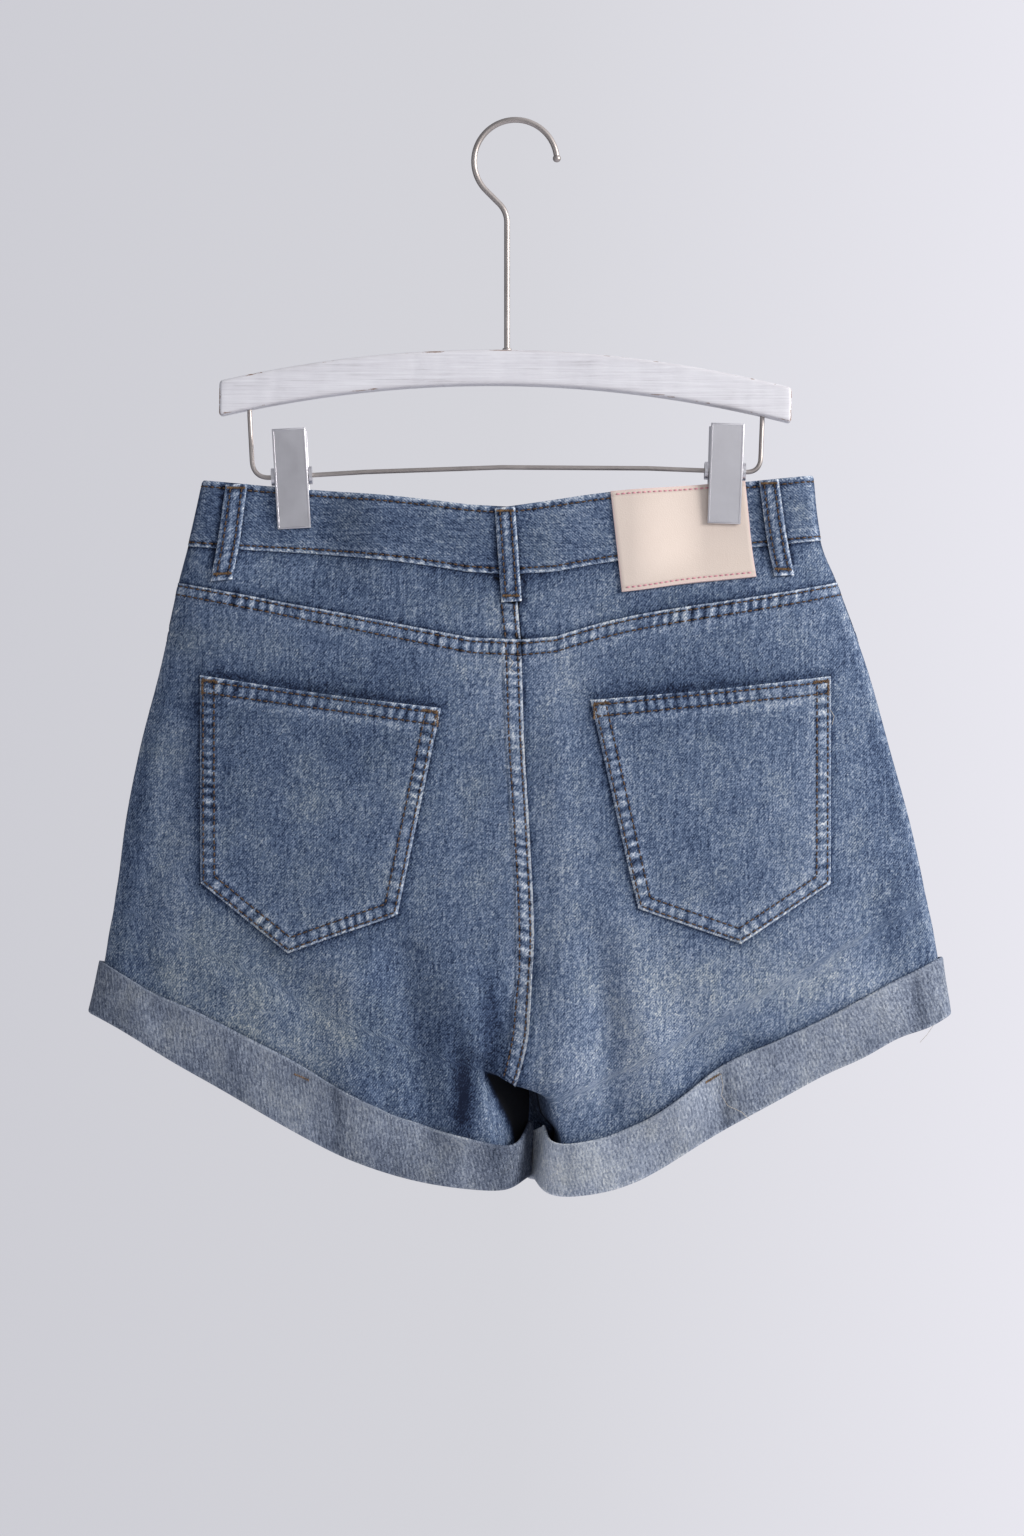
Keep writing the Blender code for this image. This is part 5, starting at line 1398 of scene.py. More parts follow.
def add_back_pocket(side):
    """A five-sided patch pocket with a hem at its mouth and two rows all round."""
    outline = POCKETS[side]
    top_outer, top_inner, low_inner, point, low_outer = (np.array(p) for p in outline)
    split = (point[0] - low_outer[0]) / (low_inner[0] - low_outer[0])
    across = np.concatenate([np.linspace(0, split, 38), np.linspace(split, 1, 62)[1:]])
    down = np.concatenate([np.linspace(0, 0.1, 18)[:-1], np.linspace(0.1, 0.92, 76)[:-1],
                           np.linspace(0.92, 1, 14)])
    tops = top_outer + (top_inner - top_outer) * across[:, None]
    tops[:, 1] -= 1.3 * np.sin(math.pi * across)
    feet = np.where((across <= split)[:, None],
                    low_outer + (point - low_outer) * (across / split)[:, None],
                    point + (low_inner - point) * ((across - split) / (1 - split))[:, None])
    grid = tops + (feet - tops) * down[:, None, None]
    x, z = grid[..., 0], grid[..., 1]
    rise, wear_and_highlight, dye_and_shade = pocket_look(side, x, z)
    outer, inner = laid(BACK, x, z, rise, POCKET_BASE)
    for reach in POCKET_ROWS:
        corners = inset(outline, (0.6, reach, reach, reach, reach))
        sew_laid(BACK, np.roll(corners, -1, axis=0), pocket_rise(side))
    for reach in POCKET_HEM_ROWS:
        sew_laid(BACK, inset(outline, (reach, 0.9, 0.9, 0.9, 0.9))[:2], pocket_rise(side))
    return add_shell("back_pocket_" + side, outer, inner, grid_uv(outer, len(across) // 2),
                     washed_and_shaded(BACK, outer, wear_and_highlight, dye_and_shade), SINGLE)


def dense(corners, step=1.6):
    """Points along a polyline, close enough to follow the cloth."""
    corners = np.array(corners, dtype=float)
    pieces = []
    for start, stop in zip(corners, corners[1:]):
        count = max(2, int(np.hypot(*(stop - start)) / step))
        pieces.append(start + (stop - start) * np.linspace(0, 1, count)[:, None])
    return np.concatenate(pieces)


def sew_laid(face, corners, rise_of, group=None, pitch=STITCH_PITCH):
    """Rows of stitches along straight lines on a piece that lies on a face."""
    for ends in zip(corners, corners[1:]):
        x, z = dense(ends).T
        rise = rise_of(x, z) + 0.08
        points, above = laid(face, x, z, rise, rise + 1)
        keep_row(group or face, points, above, pitch)


def on_loop(name, across, down):
    """x and z of a place on a belt loop, across from -0.5 to 0.5 and down from 0 to 1."""
    _, top_x, top_z, foot_x, foot_z, width = LOOPS[name]
    return (top_x + (foot_x - top_x) * down + across * width,
            top_z + (foot_z - top_z) * down + across * 0.8)


def loop_look(name, across, down):
    """Rise, wear with painted highlights, and darker dye with painted shade of a belt loop."""
    edge = (0.5 - np.abs(across)) * LOOP_WIDTH
    end = np.minimum(down, 1 - down) * LOOP_LENGTH
    seed = 1 + LOOPS[name][1] / 31
    hump = rope(down * LOOP_LENGTH + across * 5, seed, 5.2)
    rise = 4.75 + 0.7 * np.sin(math.pi * down) ** 2 - 0.8 * bell(edge, 0.8)
    rise = rise - 0.22 * bell(edge - 3.1, 0.7) + 0.12 * hump - 0.5 * bell(end - 3.6, 1.4)
    wear_and_highlight = (0.7 * bell(edge - 0.4, 0.8) + 0.2 * np.clip(hump, 0, 1) + 0.8 * bell(end, 1.1)
            + 0.35 * bell(edge - 6.2, 1.8))
    dye_and_shade = 0.9 * bell(edge - 3.1, 1) + 0.3 * np.clip(-hump, 0, 1) + 0.5 * bell(end - 3.6, 1.3)
    return rise, wear_and_highlight, dye_and_shade


def add_belt_loop(name):
    """A folded strip that stands off the waistband and is tacked at both ends."""
    face = LOOPS[name][0]
    across, down = np.meshgrid(np.linspace(-0.5, 0.5, 17), np.linspace(0, 1, 64))
    rise, wear_and_highlight, dye_and_shade = loop_look(name, across, down)
    under = 3.35 + 0.9 * np.sin(math.pi * down) ** 2
    outer, inner = laid(face, *on_loop(name, across, down), rise, under)
    look = washed_and_shaded(face, outer, wear_and_highlight, dye_and_shade)
    look[..., 0] -= 0.1
    for place in (-0.26, 0.26):
        way = np.linspace(0.03, 0.97, 40)
        lift = loop_look(name, np.full_like(way, place), way)[0] + 0.05
        keep_row(face, *laid(face, *on_loop(name, place, way), lift, lift + 1))
    return add_shell(name, outer, inner, grid_uv(outer, 8, face), look, DOUBLED)


def patch_edges(x, z):
    """Distance inside the nearest edge of the patch, and from the nearer of its two sewn rows."""
    edges = [edge_distance(x, z, start, stop)[0] for start, stop in zip(*ring_of(PATCH))]
    from_rows = np.minimum(np.abs(edges[0] - PATCH_ROW), np.abs(edges[2] - PATCH_ROW))
    return np.minimum.reduce(edges), from_rows


def patch_rise(x, z):
    """How far the patch's face stands above the surface: it lifts a little at its free corners."""
    nearest, from_rows = patch_edges(x, z)
    wave = 0.35 * np.sin(x / 11) * bell(z + 280, 9) + 0.3 * bell(z + 283, 6)
    soft = 0.12 * np.sin(x / 17 + z / 9)
    return BAND_OUT + 1.75 + wave + soft - 0.45 * bell(nearest, 0.5) - 0.2 * bell(from_rows, 0.7)


def add_patch():
    """The plain leather patch, sewn along its top and bottom edges."""
    top_left, top_right, low_right, low_left = (np.array(p) for p in PATCH)
    across = np.linspace(0, 1, 62)[:, None]
    down = np.linspace(0, 1, 46)[:, None, None]
    grid = ((top_left + (top_right - top_left) * across) * (1 - down)
            + (low_left + (low_right - low_left) * across) * down)
    x, z = grid[..., 0], grid[..., 1]
    rise = patch_rise(x, z)
    outer, inner = laid(BACK, x, z, rise, rise - 1.15)
    nearest, from_rows = patch_edges(x, z)
    tone = 0.5 + 0.2 * np.sin(x / 19) * np.sin(z / 13)
    colour_masks = joined(tone, 0.6 * bell(nearest, 0.65), 0.35 * bell(from_rows, 0.6), 0)
    corners = inset(PATCH, (PATCH_ROW, 2.4, PATCH_ROW, 2.4))
    for ends in (corners[:2], corners[:1:-1]):
        sew_laid(BACK, ends, patch_rise, "patch", PATCH_PITCH)
    return add_shell("leather_patch", outer, inner, grid_uv(outer), colour_masks, (leather,), "_sewn")


def add_facing(side):
    """The pocket cloth that shows in the front pocket's mouth."""
    shares = np.linspace(0, MOUTH_SPAN + 0.05, 70) ** 1.3 / (MOUTH_SPAN + 0.05) ** 0.3
    from_fold = shares * front_width(side)
    sink = FACING_SINK * smooth(from_fold, 1, 7)
    down = np.linspace(0, 1, 46)[:, None]
    t = down * (mouth_depth(shares) - 0.2 + 9 * smooth(from_fold, 7, 17))
    q = np.broadcast_to(q_of_share(shares), t.shape)
    outer, inner = body_walls(FRONT, side, q, t, WALL_OUT - sink, WALL_IN - sink)
    mouth_d, along = mouth_distance(side, q, t)
    # Painted shadow on the pocket cloth under the panel's edge at the mouth and at its top.
    dye_and_shade = np.clip(shadow_beside_edge(-mouth_d, along, 2, 4), 0, 1.2) + 0.5 * bell(t, 2)
    return add_shell("front_pocket_facing_" + side, outer, inner, grid_uv(outer, -1, FRONT),
                     washed_and_shaded(FRONT, outer, np.zeros_like(t), dye_and_shade), SINGLE)


def fly_reach(t):
    """Width of the fly lap at t, rounded off at its foot."""
    inside = np.clip(1 - smooth(t, FLY_END_T - 45, FLY_END_T + 4) ** 2, 0, 1)
    return FLY_WIDTH * np.sqrt(inside)


def add_fly():
    """The fly lap: a doubled edge along the centre front, sewn in a curve at its foot."""
    t = np.linspace(0.6, FLY_END_T, 92)
    across = np.linspace(0, 1, 30)
    distance = fly_reach(t)[:, None] * (1 - across) + 0.3
    q = q_from_seam(FRONT, "L", t[:, None], distance)
    t = np.broadcast_to(t[:, None], q.shape)
    h, wear_and_highlight, dye_and_shade = sewn_edge(distance, t, (FLY_EDGE_ROW,), 3.4, 8.8)
    rise = WALL_OUT + 1.5 + h - 0.9 * smooth(across, 0.12, 0) - 0.4 * bell(distance, 0.8)
    outer, inner = body_walls(FRONT, "L", q, t, rise, WALL_OUT + 0.5)
    for row in FLY_ROWS:
        way = np.linspace(1, FLY_END_T - 3, 110)
        reach = np.minimum(fly_reach(way) * row / FLY_WIDTH, row)
        sew(FRONT, "L", q_from_seam(FRONT, "L", way, reach), way, WALL_OUT + 1.56)
    way = np.linspace(1, FLY_END_T - 4, 100)
    sew(FRONT, "L", q_from_seam(FRONT, "L", way, FLY_EDGE_ROW), way, WALL_OUT + 1.3)
    return add_shell("fly", outer, inner, grid_uv(outer, -1, FRONT),
                     washed_and_shaded(FRONT, outer, wear_and_highlight, dye_and_shade), DOUBLED)


def cuff_wander(side, x, share):
    """Rise of a cuff at x, with share 0 at its top edge and 1 at its hem."""
    rise = np.zeros(np.broadcast(x, share).shape)
    for place, half_width, top, hem in CUFF_WANDER[side]:
        rise = rise + bell(x - place, half_width) * (top * (1 - share) + hem * share)
    return rise


# The cuff's section as offset and t: its outside, under the hem and up inside, and its top fold.
CUFF_OUTSIDE = tuple((CUFF_OUT + 0.55 - 0.5 * k / 17, t)
                     for k, t in enumerate(np.linspace(TOP_T + 1, HEM_T - 1.6, 18)))
CUFF_FOOT = ((CUFF_OUT - 0.25, HEM_T - 0.5), (CUFF_OUT - 1, HEM_T + 0.1), (3, HEM_T + 0.3),
             (WALL_IN + 0.8, HEM_T + 0.1), (WALL_IN + 0.15, HEM_T - 0.5),
             (WALL_IN - 0.05, HEM_T - 1.1), (WALL_IN + 0.4, HEM_T - 1.7), (CUFF_IN, HEM_T - 1.9))
CUFF_INSIDE = ((CUFF_IN + 0.3, TOP_T + 20), (CUFF_IN + 0.5, TOP_T + 8),
               (CUFF_IN + 0.5, TOP_T + 1))
CUFF_FOLD = ((CUFF_IN + 0.8, TOP_T + 0.2), (CUFF_IN + 1.6, TOP_T - 0.2),
             (CUFF_OUT + 0.2, TOP_T + 0.1), (CUFF_OUT + 0.5, TOP_T + 0.5))
CUFF_SECTION = np.array(CUFF_OUTSIDE + CUFF_FOOT + CUFF_INSIDE + CUFF_FOLD)
ON_OUTSIDE = np.concatenate([np.ones(20), np.zeros(9), (0.2, 0.5, 0.8, 1)])
CUFF_SEED = {"L": 2.2, "R": 4.6}


def soften_corners(sections, q, passes=26):
    """The ring of sections with its inner corners rounded, by repeated averaging there."""
    share = (0.5 * smooth(q, 0.72, 0.82) * (1 - smooth(q, 0.9, 0.97)))[:, None, None]
    for _ in range(passes):
        middle = (np.roll(sections, 1, axis=0) + np.roll(sections, -1, axis=0)) / 2
        sections = sections + (middle - sections) * share
    return sections


def add_cuff(side):
    """One leg's rolled cuff as a single ring, with the cloth's inside out."""
    seed = CUFF_SEED[side]
    rings, washes, ring_q = [], [], []
    for face, line in ((BACK, even_columns(BACK, side, 350, 1.9)),
                       (FRONT, even_columns(FRONT, side, 350, 1.9)[-2:0:-1])):
        q, t = np.meshgrid(line, CUFF_SECTION[:, 1], indexing="ij")
        share = (t - TOP_T) / (HEM_T - TOP_T)
        x, _, z = np.moveaxis(cuff_point(face, side, q, t), -1, 0)
        dents = line_heights(CUFF_DENTS, x, z) if face == BACK else 0.5 * np.sin(x / 13 + seed)
        dents = (dents + 0.28 * np.sin(x / 8.7 + seed) * np.sin(x / 21)
                 + 0.25 * np.sin(x / 15 + 3 * share))
        edge_wave = 0.7 * np.sin(x / 24 + seed) + 0.4 * np.sin(x / 9)
        roll = t + edge_wave * np.clip(1 - share * 3, 0, 1) * ON_OUTSIDE
        swell = np.sin(math.pi * np.clip(share * 0.8 + 0.15, 0, 1))
        points = placed(cuff_point, face, side, q, roll,
                        CUFF_SECTION[:, 0] + dents * ON_OUTSIDE * swell)
        points[..., 2] += cuff_wander(side, x, np.clip(share, 0, 1))
        wear_and_highlight = (0.12 * bell(t - TOP_T, 0.9) + 0.3 * bell(HEM_T - t, 1.1)) * ON_OUTSIDE
        wear_and_highlight = wear_and_highlight + 0.2 * np.clip(dents, 0, 1)
        # Darker in the dents' troughs and above the hem; painted shade inside the roll and towards
        # the  inner end, where the cuffs meet.
        dye_and_shade = (0.3 * np.clip(-dents, 0, 1.5) + 0.5 * (1 - ON_OUTSIDE)
                + 0.2 * bell(HEM_T - t - 2.4, 1)
                + (0.9 if side == "L" else 0.25) * smooth(q, 0.86, 0.96))
        tone = 0.15 * np.sin(x / 37 + seed) * np.sin(z / 19)
        # The right cuff is painted lighter except at its outer end, partly a paler fading of the
        # cloth  and partly painted light.
        if side == "R":
            tone = tone + 0.7 - 0.7 * smooth(x, 120, 250)
        for place, half_width, more in CUFF_WASH_LIGHT_AND_SHADE[side]:
            tone = tone + more * bell(x - place, half_width)
        rings.append(points)
        washes.append(joined(tone, wear_and_highlight, dye_and_shade, 0.15))
        ring_q.append(line)
    sections = soften_corners(np.concatenate(rings), np.concatenate(ring_q))
    closed = np.concatenate([sections, sections[:1]])
    u = np.cumsum(np.linalg.norm(np.diff(closed[:, 8], axis=0), axis=-1))
    steps = np.linalg.norm(np.diff(sections.mean(axis=0), axis=0), axis=-1)
    v = -np.concatenate([[0], np.cumsum(steps)])
    way = 1 if side == "L" else -1
    return add_ring("cuff_" + side + "_cloth", sections, joined(way * u[:, None], v),
                    np.concatenate(washes), reverse,
                    ("cuff_back_" + side, "cuff_front_" + side))


panels = [add_panel(face, side) for face in (BACK, FRONT) for side in SIDES]
yokes = [add_yoke(side) for side in SIDES]
sew_yoke_seam()
bands = add_waistband()
pockets = [add_back_pocket(side) for side in SIDES]
loops = [add_belt_loop(name) for name in LOOPS]
patch = add_patch()
facings = [add_facing(side) for side in SIDES]
fly = add_fly()
cuffs = [add_cuff(side) for side in SIDES]

# ---- sewing rows of the panels

for side in SIDES:
    for row in YOKE_ROWS:
        columns = even_columns(BACK, side, 46, 1.6)
        sew_panel(BACK, side, columns, np.full_like(columns, YOKE_T + row))
for reach in SEAM_ROWS:
    for face, top, end in ((BACK, YOKE_T + 2, 291), (FRONT, FLY_END_T + 2, 290)):
        way = np.arange(top, end, 1.6)
        sew_panel(face, "L", q_from_seam(face, "L", way, reach), way)
for side in SIDES:
    width = front_width(side)
    span = MOUTH_SPAN * width
    angle = np.linspace(0.02, math.pi / 2 - 0.02, 90)
    for reach in MOUTH_ROWS:
        out_x, out_t = np.sin(angle) / span, np.cos(angle) / MOUTH_DROP
        size = np.hypot(out_x, out_t)
        across = span * np.sin(angle) + reach * out_x / size
        way = np.maximum(MOUTH_DROP * np.cos(angle) + reach * out_t / size, 0.4)
        sew_panel(FRONT, side, q_of_share(across / width), way)


# Along a stitch: how far from its middle, how thick, and how far it stands out.
STITCH_SHARES = (-1, -0.82, 0, 0.82, 1)
STITCH_SIZES = (0.35, 0.9, 1, 0.9, 0.35)
STITCH_LIFTS = (-0.34, -0.02, 0.12, -0.02, -0.34)
STITCH_SIDES = 6
STITCH_R = 0.5
STITCH_LENGTH_SHARE = 0.74


def stitch_mesh(rows):
    """Points and faces of every stitch of the rows: short, fat threads that dip at both ends."""
    centres, ways, ups, halves = [], [], [], []
    for number, (points, above, pitch) in enumerate(rows):
        steps = np.linalg.norm(np.diff(points, axis=0), axis=1)
        arc = np.concatenate([[0], np.cumsum(steps)])
        count = max(1, int(arc[-1] / pitch))
        places = (np.arange(count) + 0.5) * arc[-1] / count
        places = places + 0.16 * np.sin(places * 1.7 + number)
        half = 0.5 * STITCH_LENGTH_SHARE * arc[-1] / count

        def at(values, where):
            return joined(*(np.interp(where, arc, column) for column in values.T))

        start, stop = at(points, places - half), at(points, places + half)
        centres.append((start + stop) / 2)
        ways.append(unit(stop - start))
        ups.append(unit(at(above, places) - at(points, places)))
        halves.append(np.linalg.norm(stop - start, axis=1) / 2)
    centre, way, up = (np.concatenate(v)[:, None, None] for v in (centres, ways, ups))
    half = np.concatenate(halves)[:, None, None, None]
    share, size, lift = (np.array(row)[None, :, None, None]
                         for row in (STITCH_SHARES, STITCH_SIZES, STITCH_LIFTS))
    angle = np.linspace(0, 2 * math.pi, STITCH_SIDES, endpoint=False)[None, None, :, None]
    points = (centre + way * half * share + up * lift
              + size * STITCH_R * (np.cos(angle) * up * 0.85 + np.sin(angle) * np.cross(way, up)))
    index = np.arange(points.size // 3).reshape(points.shape[:3])
    nxt = np.roll(index, -1, axis=2)
    quads = joined(index[:, :-1], index[:, 1:], nxt[:, 1:], nxt[:, :-1]).reshape(-1, 4)
    ends = np.concatenate([index[:, 0, ::-1], index[:, -1]])
    return points.reshape(-1, 3), quads.tolist() + ends.tolist()


for name, group, thread, slot in (("back_topstitching", BACK, brown_thread, "denim"),
                                  ("front_topstitching", FRONT, brown_thread, "denim"),
                                  ("patch_stitching", "patch", pink_thread, "leather")):
    add_parts(name, [stitch_mesh(stitch_rows[group])], thread, THREAD_SHARP)

# ---- bar tacks and thread ends


def tack(face, start, stop, rise_of, turns=9, height=1.3, radius=0.22):
    """A bar tack: a close zigzag of thread between two points of a face."""
    start, stop = np.array(start), np.array(stop)
    way = unit(stop - start)
    aside = np.where(np.arange(2 * turns + 1) % 2, 1, -1)[:, None] * np.array((-way[1], way[0]))
    share = np.linspace(0, 1, 2 * turns + 1)[:, None]
    x, z = dense(start + (stop - start) * share + aside * height / 2, 0.6).T
    bow = 0.22 * np.abs(np.sin(np.linspace(0, math.pi * 2 * turns, len(x))))
    return tube(laid(face, x, z, rise_of(x, z) + 0.12 + bow)[0], radius, 6)


def thread_end(corners, rise, radius=0.15):
    """A loose end of thread that lies on the back."""
    return tube(laid(BACK, *dense(corners, 1.2).T, rise)[0], radius, 6)


def hanging_thread():
    """A hair of thread that hangs from the right cuff's hem."""
    start = laid(BACK, 250, -534, CUFF_IN)[0]
    return tube(start + np.array(((0, 0, 0), (0, 0, -8), (-4, 0, -14),
                                  (-8.5, 0, -19))), 0.12, 6)


def level(rise):
    """The same rise at every x and z."""
    return lambda x, z: np.full_like(x, rise)


tacks = []
for side in SIDES:
    corners = inset(POCKETS[side], (2.6, 1.6, 2, 2, 1.6))
    for corner, towards in ((corners[0], corners[1]), (corners[1], corners[0])):
        way = unit(towards - corner)
        for stop in (corner + way * 9, corner + np.array((0, -9))):
            tacks.append(tack(BACK, corner, stop, pocket_rise(side), 8, 1.2))
for name, (face, *_, width) in LOOPS.items():
    for share in (0.035, 0.938):
        x, z = on_loop(name, 0, share)
        tacks.append(tack(face, (x - 0.42 * width, z), (x + 0.42 * width, z),
                          level(loop_look(name, 0, share)[0]), 12))
for x, z, slope in ((-126, -570.6, -3.6), (116.6, -571.2, 5.2)):
    tacks.append(tack(BACK, (x - 4.5, z - slope / 2), (x + 4.5, z + slope / 2),
                      level(CUFF_OUT + 2), 7, 1.2, 0.28))
add_parts("bar_tacks", tacks, gold_thread, THREAD_SHARP)
add_parts("thread_ends", [
    thread_end(((187, -353), (189.5, -357), (188.2, -362)), 4.2),
    thread_end(((121.4, -568.5), (122.8, -575.5), (121.8, -581.5), (125.5, -587.5),
                (134, -591.5), (139, -596.5)), CUFF_OUT + 1.7),
    hanging_thread(),
    thread_end(((-4, -322), (-1, -325), (-3.5, -329), (0, -331)), WALL_OUT + 1.3),
], pale_thread, THREAD_SHARP)

# ---- hanger

WIRE_R = 1.75
HOOK_R = 24.9
HOOK_X = 0.3
STEM_X = -4.8
TIP_ANGLE = math.radians(4)
LEAVE_ANGLE = math.radians(225)
STEM_BEND_R = 16
BALL_R = 2.4
STEM_SINK = 14
BAR_LENGTH = 343
BAR_HEIGHT = 21
BAR_THICKNESS = 12
BAR_CORNER = 1.9
BAR_SHARP = 50
BAR_RISE = 20.7
BAR_TOP_Z = -136.8
BAR_X = -5.4
BAR_TILT = math.radians(-0.7)
ROD_R = 1.4
ROD_ROUTE = ((-159.4, -167, 0), (-159.4, -176, 20), (-157.4, -213.8, 11),
             (-90, -209.8, 60), (-8, -207, 60), (80, -207.6, 60),
             (147.2, -210.2, 9), (148.6, -176, 20), (148.6, -168, 0))
# Each clip: x, middle of its plates, turn, rod below it, cloth behind its near and far jaws.
CLIPS = {
    "L": (-134, -214.3, math.radians(-3.1), -212.4, 3.1, 3.1),
    "R": (126.2, -211.5, math.radians(2), -209.4, 5, 3.1),
}
JAW_WIDTH = 20
JAW_HEIGHT = 60
JAW_WALL = 1.4
JAW_SPREAD = 5.5
BARREL_LENGTH = 11
JAW_SHARP = 35
SPRING_TURNS = 6
SPRING_WIRE_R = 0.62
COIL_R = 2.55
COIL_LENGTH = 9.2


def arc_points(centre_x, centre_z, radius, start, stop, count):
    angles = np.linspace(start, stop, count)
    return joined(centre_x + radius * np.cos(angles), centre_z + radius * np.sin(angles))


def moved(x, y, z):
    return Matrix.Translation(Vector((x, y, z)) * MM)


def bar_top_z(x):
    return BAR_TOP_Z - BAR_RISE * (2 * (x - BAR_X) / BAR_LENGTH) ** 2


def in_plane(route):
    route = np.asarray(route, dtype=float)
    return joined(route[:, 0], 0, route[:, 1])


def add_hook():
    """The hook: a round of wire with a ball tip, a neck bend and a straight stem."""
    around = arc_points(HOOK_X, WIRE_R - HOOK_R, HOOK_R, TIP_ANGLE, LEAVE_ANGLE, 90)
    slope = LEAVE_ANGLE - math.pi
    end_x, end_z = around[-1]
    bend_z = end_z - (STEM_X - STEM_BEND_R * (1 - math.cos(slope)) - end_x)
    bend = arc_points(STEM_X - STEM_BEND_R, bend_z - STEM_BEND_R * math.sin(slope), STEM_BEND_R,
                      slope, 0, 16)
    foot_z = bar_top_z(STEM_X)
    stem = [(STEM_X, z) for z in np.linspace(bend[-1][1] - 2, foot_z - STEM_SINK, 16)]
    tip_x, tip_z = around[0]
    ball_z = np.linspace(-BALL_R, BALL_R, 13)
    ball_r = np.sqrt(np.maximum(BALL_R ** 2 - ball_z ** 2, 0)) + 0.04
    collar_z, collar_r = np.array(((0.2, 1), (0.9, 1), (1.3, 0.7), (1.5, 0))).T
    parts = [tube(in_plane(np.concatenate([around, bend, stem])), WIRE_R, 24),
             tube(in_plane([(tip_x, tip_z + z) for z in ball_z]), ball_r, 24),
             tube(in_plane([(STEM_X, foot_z + z) for z in collar_z]), WIRE_R + collar_r, 24)]
    add_parts("hook_wire", parts, nickel_wire, nodes=("hanger_hook",))


def bent_route(route, per_bend=14):
    """A wire's route with each corner rounded by an arc of its own radius."""
    corners = [Vector((x, z)) for x, z, _ in route]
    points = [corners[0]]
    for before, corner, after, (_, _, radius) in zip(corners, corners[1:], corners[2:], route[1:]):
        into = (corner - before).normalized()
        out = (after - corner).normalized()
        turn = into.angle(out)
        reach = radius * math.tan(turn / 2)
        start = corner - into * reach
        stop = corner + out * reach
        count = max(3, round(per_bend * turn) + 2)
        for k in range(count + 1):
            u = k / count
            points.append(start * (1 - u) ** 2 + corner * 2 * u * (1 - u) + stop * u * u)
    return [(p.x, p.y) for p in points + [corners[-1]]]


def add_rod():
    add_parts("rod_wire", [tube(in_plane(bent_route(ROD_ROUTE)), ROD_R, 20)], nickel_wire,
              nodes=("hanger_rod",))


def bar_section():
    """The bar's section, thickness and height, with rounded corners."""
    half = np.array((BAR_THICKNESS, BAR_HEIGHT)) / 2 - BAR_CORNER
    centres = half * ((1, 1), (-1, 1), (-1, -1), (1, -1))
    ring = []
    for k, centre in enumerate(centres):
        angles = np.radians(90 * k + np.linspace(0, 90, 5))
        round_off = BAR_CORNER * joined(np.cos(angles), np.sin(angles))
        side = centres[(k + 1) % 4] - centre
        ring += [centre + round_off,
                 centre + round_off[-1] + side * np.array((0.12, 0.35, 0.65, 0.88))[:, None]]
    return np.concatenate(ring)


def add_bar():
    """The curved bar: white paint over wood, rubbed thin along its edges."""
    half = BAR_LENGTH / 2
    ends = np.array((0, 0.35, 1, 2))
    xs = np.concatenate([-half + ends, np.linspace(-half + 5, half - 5, 110), half - ends[::-1]])
    inward = np.concatenate([(1.6, 0.75, 0.2), np.zeros(112), (0.2, 0.75, 1.6)])[:, None]
    ring = bar_section()
    wander = np.random.default_rng(5)
    uneven = np.array([wander.standard_normal() for _ in xs])[:, None]
    y = ring[:, 0] * (1 - inward / (BAR_THICKNESS / 2)) + 0.06 * uneven
    z = (ring[:, 1] * (1 - inward / (BAR_HEIGHT / 2))
         + (bar_top_z(xs + BAR_X) - BAR_HEIGHT / 2)[:, None])
    edge = bell(np.hypot(np.abs(ring[:, 0]) - BAR_THICKNESS / 2,
                         np.abs(ring[:, 1]) - BAR_HEIGHT / 2), 1.7)
    worn = np.maximum(edge, bell(half - np.abs(xs), 1.2)[:, None]).ravel()
    sections = joined((xs + BAR_X)[:, None], y, z)
    pivot = np.array((BAR_X, 0, BAR_TOP_Z))
    turn = np.array(Matrix.Rotation(-BAR_TILT, 3, "Y"))
    colour_masks = joined(0.5, worn, 0, 0)
    add_parts("painted_bar", [capped((sections - pivot) @ turn.T + pivot)], painted_wood,
              BAR_SHARP, ("hanger_bar",), colour_masks)


def clip_matrix(side):
    x, _, turn, rod_z, _, _ = CLIPS[side]
    return moved(x, 0, rod_z) @ Matrix.Rotation(turn, 4, "Y")


def add_plate(bm, *size):
    made = bmesh.ops.create_cube(bm, size=1)["verts"]
    bmesh.ops.scale(bm, vec=Vector(size) * MM, verts=made)
    return made


